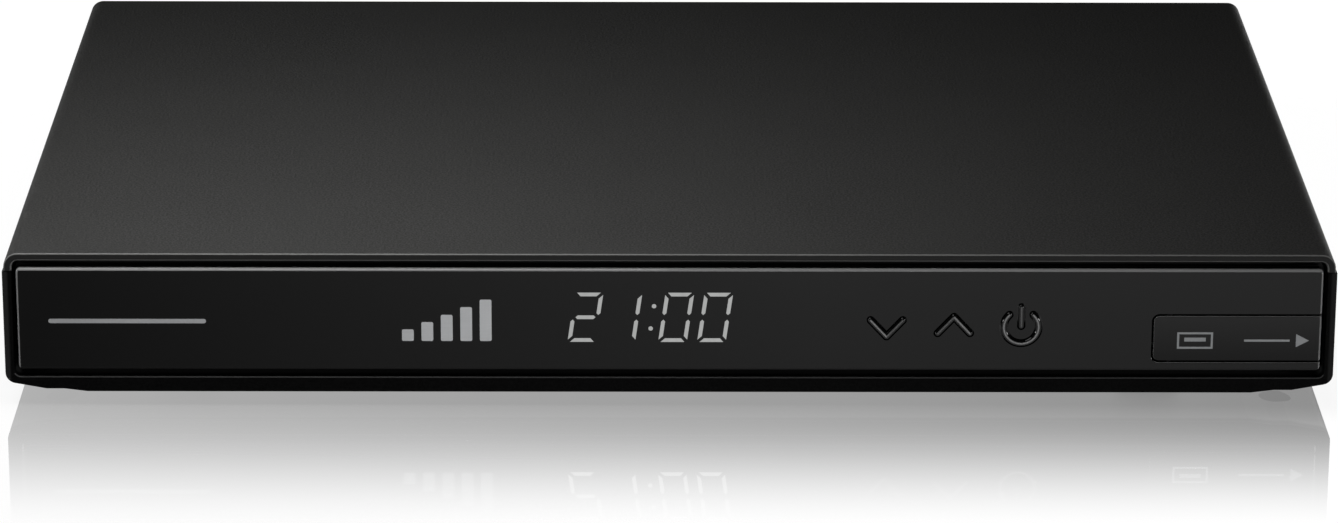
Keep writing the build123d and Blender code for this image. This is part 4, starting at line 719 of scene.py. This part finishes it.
def finish_table(colours):
    """Finishes by the record's material slots."""
    screw_low, screw_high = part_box("case_screws")
    lan_low, lan_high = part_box("lan_socket")
    head = 2.9 * MM
    black = (0.012, 0.012, 0.012)
    steel = (0.5, 0.5, 0.5)
    # Greys of painted highlights on the gloss edges, and of the painted reflection on the door.
    rim_highlight_grey, edge_highlight_grey, door_sheen_grey = 0.21, 0.14, 0.02
    mouldings = {
        "carrier": ((0.004, 0.004, 0.004), 0.6),
        "plunger": ((0.03, 0.03, 0.03), 0.45),
        "switch": ((0.02, 0.02, 0.02), 0.5),
        "header": ((0.6, 0.56, 0.45), 0.4),
        "tongue": (black, 0.4),
        "jack": (black, 0.35),
        "lan": ((0.014, 0.014, 0.015), 0.4),
        "inlet": (black, 0.38),
    }
    return {
        **{f"{key}_plastic": moulded(f"{key}_moulding", *look) for key, look in mouldings.items()},
        "cover_plastic": moulded(
            "cover_satin", colours.cover, 0.46, 0.42 * MM, 0.03 * MM, 0.12,
            # The cover's front fillet is painted lighter as a highlight, and its flat lip darker as
            # painted shade.
            [(cover_edge_highlight, 3.2), (cover_lip_shade, 0.4)],
        ),
        # Case zones: the rim keeps a near-black colour as painted shade, the walls their own colour;
        # cheeks and sill edge are painted lighter as light.
        "case_plastic": moulded(
            "case_satin", colours.case, 0.42, level=0.02,
            zones=[(case_walls, 7.0), (cheek_painted_light, 6.0), (sill_highlight, 16.0)], satin=case_walls,
        ),
        "plate_paint": painted("plate_powder_coat", colours.plate, 0.42),
        "front_gloss": polished(
            "front_polish", colours.front, 0.05, 0.24,
            [(panel_rim_highlight, rim_highlight_grey), (door_ledge_highlight, edge_highlight_grey)], panel_foot,
        ),
        "door_gloss": polished(
            "door_polish", colours.front, 0.05, 0.17,
            [(door_sheen_ramp, door_sheen_grey), (door_shoulder_highlight, edge_highlight_grey), (panel_rim_highlight, rim_highlight_grey)],
        ),
        "key_gloss": polished("key_polish", KEY_COLOUR, 0.08),
        "pin_steel": plated("pin_blackened_steel", (0.015, 0.015, 0.016), 0.3, (1, 1, 0.05)),
        "board_laminate": laminate("board_solder_mask", (0.01, 0.09, 0.03)),
        "display_body": moulded("display_moulding", (0.01, 0.01, 0.011), 0.5),
        "display_light": glowing("display_bars", (0.3, 0.31, 0.32)),
        "eye_plastic": polished("eye_lens", (0.012, 0.005, 0.008), 0.08),
        "ribbon_film": striped("ribbon_film", (0.62, 0.64, 0.66), (0.4, 0.36, 0.3), 1.0 * MM),
        "socket_nickel": plated("socket_nickel_plate", colours.nickel, 0.24, (1, 0.06, 1)),
        "tin_sheet": plated("tuner_tin_plate", (0.6, 0.6, 0.6), 0.34, (0.05, 1, 1), 0.4 * MM),
        "lamp_plastic": lamp_lens(
            "lan_lamp_lens", (0.05, 0.4, 0.08), (0.75, 0.38, 0.03), (lan_low.x + lan_high.x) / 2
        ),
        "contact_gold": plated("contact_gold_plate", colours.gold, 0.2, (1, 0.08, 1)),
        "chip_resin": moulded("chip_resin", (0.014, 0.014, 0.015), 0.55, 0.18 * MM),
        "pad_rubber": rubbery("thermal_pad_silicone", (0.3, 0.36, 0.45)),
        "sink_aluminium": plated("sink_extrusion", (0.7, 0.71, 0.73), 0.36, (1, 0.03, 1)),
        "capacitor_sleeve": striped("capacitor_sleeve", (0.012, 0.02, 0.06), (0.03, 0.04, 0.09), 2.0 * MM),
        "coil_ferrite": moulded("coil_ferrite", (0.03, 0.03, 0.032), 0.6, 0.2 * MM),
        "screw_steel": cross_headed(
            "screw_zinc_plate", steel, screw_high.x - head, screw_low.y + head, screw_high.y - head
        ),
        "foot_rubber": rubbery("foot_rubber", black),
    }


class RECEIVER_OT_finishes(bpy.types.Operator):
    """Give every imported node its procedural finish"""

    bl_idname = "receiver.finishes"
    bl_label = "Finishes"

    def execute(self, context):
        finishes = finish_table(context.scene.receiver_finishes)
        for entry in frame["record"]["subparts"]:
            node = frame["nodes"][entry["node"]]
            material = finishes[entry["material_slot"]]
            if not node.material_slots:
                node.data.materials.append(material)
            for holder in node.material_slots:
                holder.material = material
        return {"FINISHED"}


class RECEIVER_OT_clock(bpy.types.Operator):
    """Light the bars of the clock on the smoked front"""

    bl_idname = "receiver.clock"
    bl_label = "Lit clock"

    def execute(self, context):
        sizes = context.scene.receiver_clock
        film = context.scene.receiver_marks.film
        middle = (SEGMENTS_LOW + SEGMENTS_HIGH) / 2
        light = glowing("clock_light", sizes.light)
        bars = seven_segments(sizes.reading, sizes) + [middle.x, middle.z]
        add_piece(
            "clock_digits",
            *prisms(bars, PANEL_FACE - film, PANEL_FACE + film),
            light, "case", "display_light",
        )
        rise = sizes.colon_spread / 2
        lean = math.tan(sizes.slant) * rise
        dots = discs(
            [
                [middle.x + sizes.colon_shift - lean, middle.z - rise],
                [middle.x + sizes.colon_shift + lean, middle.z + rise],
            ],
            sizes.colon_radius,
        )
        add_piece(
            "clock_colon",
            *prisms(dots, PANEL_FACE - film, PANEL_FACE + film),
            light, "case", "display_light",
        )
        return {"FINISHED"}


# Front inlays, in millimetres: places across the front, and levels above the case's lower edge
BAR_LEFT, BAR_PITCH, BAR_WIDTH, BAR_FOOT, BAR_ROUND = -52.3, 3.8, 2.3, 10.66, 0.3
BAR_HEIGHTS = np.array([2.4, 3.9, 5.4, 7.0, 8.55])
TRIM_LEFT, TRIM_RIGHT, TRIM_FOOT, TRIM_TOP, TRIM_ROUND = -121.2, -90.5, 14.25, 15.15, 0.4


class RECEIVER_OT_front_marks(bpy.types.Operator):
    """Set plain metal inlays in the front: a row of level bars and a slim trim line"""

    bl_idname = "receiver.front_marks"
    bl_label = "Front inlays"

    def execute(self, context):
        marks = context.scene.receiver_marks
        metal = plated("inlay_brushed_metal", marks.inlay, 0.42, (0.06, 1, 1))
        ground = CASE_LOW.z
        depth = (PANEL_FACE - marks.film, PANEL_FACE + marks.film)
        count = len(BAR_HEIGHTS)
        lefts = (BAR_LEFT + BAR_PITCH * np.arange(count)) * MM
        foot = BAR_FOOT * MM + ground
        bars = rounded(
            np.stack([lefts, np.full(count, foot)], -1),
            np.stack([lefts + BAR_WIDTH * MM, BAR_HEIGHTS * MM + foot], -1),
            BAR_ROUND * MM,
        )
        add_piece("front_level_bars", *prisms(bars, *depth), metal, "case", "socket_nickel")
        line = rounded(
            [[TRIM_LEFT * MM, TRIM_FOOT * MM + ground]], [[TRIM_RIGHT * MM, TRIM_TOP * MM + ground]],
            TRIM_ROUND * MM,
        )
        add_piece("front_trim_line", *prisms(line, *depth), metal, "case", "socket_nickel")
        return {"FINISHED"}


class RECEIVER_OT_key_strokes(bpy.types.Operator):
    """Lay smooth rounded strokes over the raised symbols of the three keys"""

    bl_idname = "receiver.key_strokes"
    bl_label = "Key strokes"

    def execute(self, context):
        sizes = context.scene.receiver_keys
        # The strokes' crowns carry a painted highlight in grey.
        gloss = polished("stroke_polish", KEY_COLOUR, 0.05, 0.25, [(stroke_highlight, 0.45)])
        share = np.linspace(0, 1, 24)[:, None]
        for name, rise in (("channel_down_key", -1), ("channel_up_key", 1), ("power_key", 0)):
            low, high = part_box(name)
            middle = np.array([(low.x + high.x) / 2, (low.z + high.z) / 2])
            if rise:
                tip = middle + [0, rise * (sizes.arrow_height / 2 + sizes.arrow_shift)]
                ends = [tip + [side * sizes.arrow_half, -rise * sizes.arrow_height] for side in (-1, 1)]
                paths = [end + (tip - end) * share for end in ends]
            else:
                angles = np.linspace(sizes.ring_opening / 2, 2 * np.pi - sizes.ring_opening / 2, 96)
                ring = middle + sizes.ring_radius * np.stack([-np.sin(angles), np.cos(angles)], -1)
                bar = middle + [0, sizes.bar_shift] + (share - 0.5) * [0, sizes.bar_run]
                paths = [ring, bar]
            beads = [
                bead(path, sizes.crown, sizes.edge_radius, low.y + sizes.edge_radius - sizes.film)
                for path in paths
            ]
            firsts = np.cumsum([0] + [len(points) for points, faces in beads])
            add_piece(
                name.replace("key", "stroke"),
                np.concatenate([points for points, faces in beads]),
                np.concatenate([faces + first for (points, faces), first in zip(beads, firsts)]).tolist(),
                gloss, name, "key_gloss", 40,
            )
        return {"FINISHED"}


# Door marks, in millimetres from the door's left end and from a level under its middle: the arrow's
# head, then the low and high corners of the arrow's shaft, the sign's four sides and its tongue
MARKS_DROP = 0.4
ARROW_HEAD = np.array([[[27.85, -1.35], [30.4, 0.0], [27.85, 1.35]]])
LINES_LOW = np.array([[17.7, -0.22], [4.6, -1.7], [4.6, 1.3], [4.6, -1.3], [11.2, -1.3], [6.0, -0.2]])
LINES_HIGH = np.array([[26.6, 0.22], [11.6, -1.3], [11.6, 1.7], [5.0, 1.3], [11.6, 1.3], [10.2, 0.6]])


class RECEIVER_OT_door_marks(bpy.types.Operator):
    """Print an arrow and a plain socket sign on the door"""

    bl_idname = "receiver.door_marks"
    bl_label = "Door marks"

    def execute(self, context):
        marks = context.scene.receiver_marks
        ink = printed("door_ink", marks.ink)
        start = [DOOR_LOW.x, (DOOR_LOW.z + DOOR_HIGH.z) / 2 - MARKS_DROP * MM]
        depth = (DOOR_LOW.y - marks.film, DOOR_LOW.y + marks.film)
        arrow = ARROW_HEAD * MM + start
        add_piece("door_arrow_head", *prisms(arrow, *depth), ink, "usb_door", "display_light")
        lines = boxes(LINES_LOW * MM, LINES_HIGH * MM) + start
        add_piece("door_lines", *prisms(lines, *depth), ink, "usb_door", "display_light")
        return {"FINISHED"}


# Aerial connectors, in millimetres: sizes of the barrel, then profiles as depth from the mouth's floor
# and radius
ROOT_RUN, BARREL_STEP, MOUTH_R, MOUTH_DEPTH, CHAMFER = 3.2, 0.25, 2.9, 2.0, 0.5
AXIS_R = 0.01
INSULATOR = np.array([[0.0, AXIS_R], [0.0, 2.88], [0.6, 2.7], [0.6, 1.2], [0.2, 0.5]])
CONTACT = np.array([[0.1, AXIS_R], [0.1, 0.85], [0.42, 0.85], [0.42, 0.5], [0.22, 0.3]])
BARREL_TURNS, CONTACT_TURNS, THREAD_ROWS = 72, 32, 150


class RECEIVER_OT_aerials(bpy.types.Operator):
    """Turn the two threaded aerial connectors, with their insulators and centre contacts"""

    bl_idname = "receiver.aerials"
    bl_label = "Aerial connectors"

    def execute(self, context):
        sizes = context.scene.receiver_rear
        colours = context.scene.receiver_finishes
        metal = plated("aerial_nickel_plate", colours.nickel, 0.22, (1, 0.2, 1))
        insulator = moulded("aerial_insulator", (0.68, 0.66, 0.6), 0.35)
        gold = plated("aerial_contact_plate", colours.gold, 0.2)
        for name in ("aerial_loop_connector", "aerial_input_connector"):
            low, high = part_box(name)
            x, z = (low.x + high.x) / 2, (low.z + high.z) / 2
            root_r = (high.x - low.x) / 2
            barrel_r = root_r - BARREL_STEP * MM
            root_end = low.y + ROOT_RUN * MM
            end = high.y
            mouth_r, axis_r, chamfer = MOUTH_R * MM, AXIS_R * MM, CHAMFER * MM
            floor = end - MOUTH_DEPTH * MM
            run = np.linspace(root_end + 0.02 * MM, end - chamfer, THREAD_ROWS)
            angles = np.arange(BARREL_TURNS) * 2 * np.pi / BARREL_TURNS
            phase = run[:, None] / sizes.thread_pitch + angles / (2 * np.pi)
            ridge = np.abs(2 * (phase % 1) - 1)
            fade = np.clip(np.minimum(run - run[0], end - run) / sizes.thread_pitch, 0, 1)
            thread = barrel_r - sizes.thread_depth * fade[:, None] * (1 - np.clip(1.25 * ridge, 0, 1))
            depths = np.concatenate(
                [[low.y, low.y, root_end, root_end], run, [end, end, floor, floor]]
            )
            round_row = np.zeros(BARREL_TURNS)
            before = np.array([axis_r, root_r, root_r, barrel_r])[:, None] + round_row
            after = np.array([barrel_r - chamfer, mouth_r, mouth_r, axis_r])[:, None] + round_row
            radii = np.concatenate([before, thread, after])
            barrel = add_piece(
                name.replace("connector", "barrel"), *lathed(x, z, depths, radii, BARREL_TURNS),
                metal, "case", "socket_nickel", 40,
            )
            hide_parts(name)
            add_piece(
                name.replace("connector", "insulator"),
                *lathed(x, z, floor + INSULATOR[:, 0] * MM, INSULATOR[:, 1] * MM),
                insulator, "case", "header_plastic", 30,
            )
            add_piece(
                name.replace("connector", "contact"),
                *lathed(x, z, floor + CONTACT[:, 0] * MM, CONTACT[:, 1] * MM, CONTACT_TURNS),
                gold, "case", "contact_gold", 30,
            )
        return {"FINISHED"}


# Contact strips, in millimetres: places across the tongue, half widths, and room before and behind
DATA_PLACES = np.array([-3.5, -1.0, 1.0, 3.5])
DATA_HALF, DATA_BEFORE, DATA_BEHIND = 0.5, 0.6, 1.5
VIDEO_UPPER, VIDEO_LOWER = np.arange(10) - 4.5, np.arange(9) - 4.0
VIDEO_HALF, VIDEO_BEFORE, VIDEO_BEHIND = 0.22, 0.5, 0.6


def contact_outlines(centres, levels, half, height):
    """Upright outlines of strips: centre plus or minus half, level plus or minus height."""
    return boxes(
        np.stack([centres - half, levels - height], -1), np.stack([centres + half, levels + height], -1)
    )


class RECEIVER_OT_contacts(bpy.types.Operator):
    """Lay gold contact strips on the tongues of the data and video sockets"""

    bl_idname = "receiver.contacts"
    bl_label = "Socket contacts"

    def execute(self, context):
        colours = context.scene.receiver_finishes
        height = context.scene.receiver_rear.contact_height
        gold = plated("strip_gold_plate", colours.gold, 0.2, (1, 0.08, 1))
        low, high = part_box("usb_socket_tongue")
        centres = (low.x + high.x) / 2 + DATA_PLACES * MM
        levels = np.full(len(centres), low.z)
        strips = contact_outlines(centres, levels, DATA_HALF * MM, height)
        add_piece(
            "data_contact_strips",
            *prisms(strips, low.y + DATA_BEFORE * MM, high.y - DATA_BEHIND * MM),
            gold, "case", "contact_gold",
        )
        low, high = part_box("video_socket_tongue")
        centres = (low.x + high.x) / 2 + np.concatenate([VIDEO_UPPER, VIDEO_LOWER]) * MM
        levels = np.repeat([high.z, low.z], [len(VIDEO_UPPER), len(VIDEO_LOWER)])
        strips = contact_outlines(centres, levels, VIDEO_HALF * MM, height)
        add_piece(
            "video_contact_strips",
            *prisms(strips, low.y + VIDEO_BEFORE * MM, high.y - VIDEO_BEHIND * MM),
            gold, "case", "contact_gold",
        )
        return {"FINISHED"}


def white_rays(kit):
    """Factor of 1 for camera, mirror and transmission rays, and 0 for those that carry light."""
    camera = kit.node("ShaderNodeLightPath", output="Is Camera Ray")
    mirror = kit.node("ShaderNodeLightPath", output="Is Singular Ray")
    clear = kit.node("ShaderNodeLightPath", output="Is Transmission Ray")
    return 1 - (1 - camera) * (1 - mirror) * (1 - clear)


# Floor's shading: half its size, then limits as distances from the case in metres, or as shares
FLOOR_HALF = 12.0
GLINT_LEFT, GLINT_NEAR, GLINT_RIGHT_SHARE, GLINT_REACH = 0.33, 0.85, 0.23, (0.02, 0.08)
CONTACT_SHADE, CONTACT_REACH = 0.23, (0.0, 0.009)
SHEEN_LEFT, SHEEN_GAIN, SHEEN_REACH = 0.78, 0.36, (0.003, 0.068)
FACING_LIMITS = (0.15, 0.55)


def floor_mesh(stage):
    """Flat pale floor: white to the camera, with painted shade beside the case, and a mirror sheen that
    fades.

    The white has the key lamp's own light taken off, so that the lamp's shadow stays. Glossy rays see a
    ramp by place in its stead, a painted reflection, darker to the left and near the case. From below
    the floor is clear.
    """
    mesh = bpy.data.meshes.new("floor")
    corners = FLOOR_HALF * np.array([(-1, -1, 0), (1, -1, 0), (1, 1, 0), (-1, 1, 0)])
    mesh.from_pydata(corners.tolist(), [], [(0, 1, 2, 3)])
    kit = Finish("floor_paper", roughness=0.6, specular_ior_level=0.2, emission_strength=1.0)
    tooth = kit.noise(30 * MM, 2.0)
    kit.wear("Base Color", kit.shades(stage.floor, 0.985, 1.015, tooth))
    middle = (CASE_LOW + CASE_HIGH) / 2
    reach = (CASE_HIGH - CASE_LOW) / 2
    beside = abs(kit.axis("X") - middle.x) - reach.x
    beside = beside.math("MAXIMUM", beside, 0.0)
    beyond = abs(kit.axis("Y") - middle.y) - reach.y
    beyond = beyond.math("MAXIMUM", beyond, 0.0)
    away = beside * beside + beyond * beyond
    away = away.math("SQRT", away)
    from_key_x = kit.axis("X") - KEY_LAMP.x
    from_key_y = kit.axis("Y") - KEY_LAMP.y
    spread = (from_key_x * from_key_x + from_key_y * from_key_y) * KEY_LAMP.z ** -2 + 1
    lamp_light = stage.key / (math.pi * KEY_LAMP.z) ** 2
    lit = spread.math("POWER", spread, -2) * (stage.floor[0] * lamp_light)
    # The glint is a painted reflection: what the gloss front mirrors of the floor is darker to the left
    # and near the case.
    rightward = step(kit, kit.axis("X"), -reach.x, GLINT_RIGHT_SHARE * reach.x)
    outward = step(kit, away, *GLINT_REACH)
    glint = (GLINT_LEFT + (1 - GLINT_LEFT) * rightward) * (GLINT_NEAR + (1 - GLINT_NEAR) * outward) - lit
    glossy = kit.node("ShaderNodeLightPath", output="Is Glossy Ray")
    eastward = step(kit, kit.axis("X"), -reach.x, reach.x)
    # Painted contact shadow: the white is darker within a few millimetres of the case, more so to the
    # right.
    nearby = 1 - step(kit, away, *CONTACT_REACH)
    paper = (stage.backdrop - lit) * (1 - CONTACT_SHADE * nearby * eastward)
    kit.wear("Emission Color", kit.blend(glint * glossy, paper, white_rays(kit)))
    fade = kit.node(
        "ShaderNodeMapRange", {"interpolation_type": "SMOOTHSTEP"},
        {
            "Value": away, "From Min": SHEEN_REACH[0], "From Max": SHEEN_REACH[1],
            "To Min": stage.sheen, "To Max": 0.0,
        },
    )
    facing = kit.node("ShaderNodeLayerWeight", sockets={"Blend": 0.5}, output="Facing")
    low_view = step(kit, facing, *FACING_LIMITS)
    mirror = kit.node("ShaderNodeBsdfGlossy", {}, {"Roughness": 0.0, "Color": (1, 1, 1, 1)})
    plain = Value(kit, kit.shader.outputs[0])
    sheen = fade * low_view * (SHEEN_LEFT + SHEEN_GAIN * eastward) * (1 - glossy)
    upper = kit.node("ShaderNodeMixShader", {}, {0: sheen, 1: plain, 2: mirror})
    under = kit.node("ShaderNodeNewGeometry", output="Backfacing")
    clear = kit.node("ShaderNodeBsdfTransparent")
    both = kit.node("ShaderNodeMixShader", {}, {0: under, 1: upper, 2: clear})
    kit.feed(kit.tree.nodes["Material Output"].inputs["Surface"], both)
    mesh.materials.append(kit.material)
    floor = bpy.data.objects.new("floor", mesh)
    bpy.context.scene.collection.objects.link(floor)


def studio_world(scene):
    """Dim room, lighter above and in front, that looks plain white to the camera and in mirrors."""
    world = bpy.data.worlds.new("studio")
    world.use_nodes = True
    scene.world = world
    kit = NodeKit(world.node_tree)
    toward = kit.node("ShaderNodeTexCoord", output="Generated")
    back = kit.node("ShaderNodeSeparateXYZ", sockets={"Vector": toward}, output="Y")
    up = kit.node("ShaderNodeSeparateXYZ", sockets={"Vector": toward}, output="Z")
    lift = kit.node(
        "ShaderNodeMapRange", {},
        {"Value": up * 0.8 - back * 0.6, "From Min": -0.4, "From Max": 0.9, "To Min": 0.0, "To Max": 1.0},
    )
    room = kit.blend((0.004, 0.004, 0.004, 1), (0.02, 0.02, 0.02, 1), lift)
    colour = kit.blend(room, (1, 1, 1, 1), white_rays(kit))
    kit.feed(world.node_tree.nodes["Background"].inputs["Color"], colour)


def soft_box(name, place, target, size, power, in_gloss=True):
    """Rectangular lamp at a place, turned to a target."""
    lamp = bpy.data.lights.new(name, "AREA")
    lamp.shape = "RECTANGLE"
    lamp.size, lamp.size_y = size
    lamp.energy = power
    holder = bpy.data.objects.new(name, lamp)
    holder.location = place
    aim = Vector(target) - Vector(place)
    holder.rotation_euler = aim.to_track_quat("-Z", "Y").to_euler()
    holder.visible_glossy = in_gloss
    holder.visible_camera = False
    bpy.context.scene.collection.objects.link(holder)


# Lamps at the right, mirrored for the left: place, target, size; and the camera, solved from the photo
KEY_SIZE = (0.2, 0.16)
SIDE_BOX = (0.8, -0.45, 0.06), (0.13, -0.09, 0.02), (0.3, 0.1)
FILL_BOX = (0.9, 0.9, 0.06), (0, 0, 0.02), (0.6, 0.1)
RIGHT_SIDE_SHARE = 1.2
SENSOR_WIDTH, CLIP_END = 36.0, 100.0
CAMERA_ANGLES = tuple(math.radians(angle) for angle in (0.3701, 18.5959, -0.1975))
CAMERA_PLACE = (-6.646 * MM, CASE_LOW.y - 995.232 * MM, CASE_LOW.z + 361.82 * MM)


class RECEIVER_OT_stage(bpy.types.Operator):
    """Lay the pale floor, hang the soft boxes and set the camera"""

    bl_idname = "receiver.stage"
    bl_label = "Stage"

    def execute(self, context):
        scene = context.scene
        stage = scene.receiver_stage
        scene.view_settings.view_transform = "Standard"

        floor_mesh(stage)
        studio_world(scene)
        soft_box("key_box", KEY_LAMP, KEY_LAMP * Vector((1, 1, 0)), KEY_SIZE, stage.key)
        pairs = (
            ("side_box", SIDE_BOX, stage.side, RIGHT_SIDE_SHARE, True),
            ("fill_box", FILL_BOX, stage.fill, 1.0, False),
        )
        for name, (place, target, size), power, right_share, in_gloss in pairs:
            for hand, sign, share in (("left", -1, 1.0), ("right", 1, right_share)):
                spots = [(sign * spot[0], *spot[1:]) for spot in (place, target)]
                soft_box(f"{name}_{hand}", *spots, size, share * power, in_gloss)

        lens = bpy.data.cameras.new("camera")
        lens.sensor_fit = "HORIZONTAL"
        lens.sensor_width = SENSOR_WIDTH
        lens.lens = stage.lens
        lens.clip_end = CLIP_END
        camera = bpy.data.objects.new("camera", lens)
        scene.collection.objects.link(camera)
        yaw, pitch, roll = CAMERA_ANGLES
        ahead = np.array(
            [math.sin(yaw) * math.cos(pitch), math.cos(yaw) * math.cos(pitch), -math.sin(pitch)]
        )
        right = np.array([math.cos(yaw), -math.sin(yaw), 0.0])
        down = np.cross(ahead, right)
        across = math.cos(roll) * right + math.sin(roll) * down
        drop = -math.sin(roll) * right + math.cos(roll) * down
        turn = Matrix(np.column_stack([across, -drop, -ahead]).tolist())
        camera.matrix_world = Matrix.Translation(CAMERA_PLACE) @ turn.to_4x4()
        scene.camera = camera
        return {"FINISHED"}


PIECE_OPERATORS = (
    RECEIVER_OT_finishes,
    RECEIVER_OT_clock,
    RECEIVER_OT_front_marks,
    RECEIVER_OT_key_strokes,
    RECEIVER_OT_door_marks,
    RECEIVER_OT_aerials,
    RECEIVER_OT_contacts,
    RECEIVER_OT_stage,
)
SETTINGS = {
    "receiver_clock": ReceiverClock,
    "receiver_marks": ReceiverMarks,
    "receiver_keys": ReceiverKeys,
    "receiver_finishes": ReceiverFinishes,
    "receiver_rear": ReceiverRear,
    "receiver_stage": ReceiverStage,
}


class RECEIVER_PT_panel(bpy.types.Panel):
    """Lists the receiver's operators and their settings"""

    bl_idname = "RECEIVER_PT_panel"
    bl_label = "Receiver"
    bl_space_type = "VIEW_3D"
    bl_region_type = "UI"
    bl_category = "Receiver"

    def draw(self, context):
        for operator in PIECE_OPERATORS:
            self.layout.operator(operator.bl_idname)
        for name, group in SETTINGS.items():
            box = self.layout.box()
            for key in group.__annotations__:
                box.prop(getattr(context.scene, name), key)


def register():
    """Register the settings, the operators and the panel."""
    for name, group in SETTINGS.items():
        bpy.utils.register_class(group)
        setattr(bpy.types.Scene, name, PointerProperty(type=group))
    for operator in PIECE_OPERATORS:
        bpy.utils.register_class(operator)
    bpy.utils.register_class(RECEIVER_PT_panel)


def unregister():
    """Undo register, in the other order."""
    bpy.utils.unregister_class(RECEIVER_PT_panel)
    for operator in reversed(PIECE_OPERATORS):
        bpy.utils.unregister_class(operator)
    for name, group in reversed(SETTINGS.items()):
        delattr(bpy.types.Scene, name)
        bpy.utils.unregister_class(group)


def main():
    """Register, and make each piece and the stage."""
    register()
    bpy.ops.receiver.finishes()
    bpy.ops.receiver.clock()
    bpy.ops.receiver.front_marks()
    bpy.ops.receiver.key_strokes()
    bpy.ops.receiver.door_marks()
    bpy.ops.receiver.aerials()
    bpy.ops.receiver.contacts()
    bpy.ops.receiver.stage()


if __name__ == "__main__":
    main()
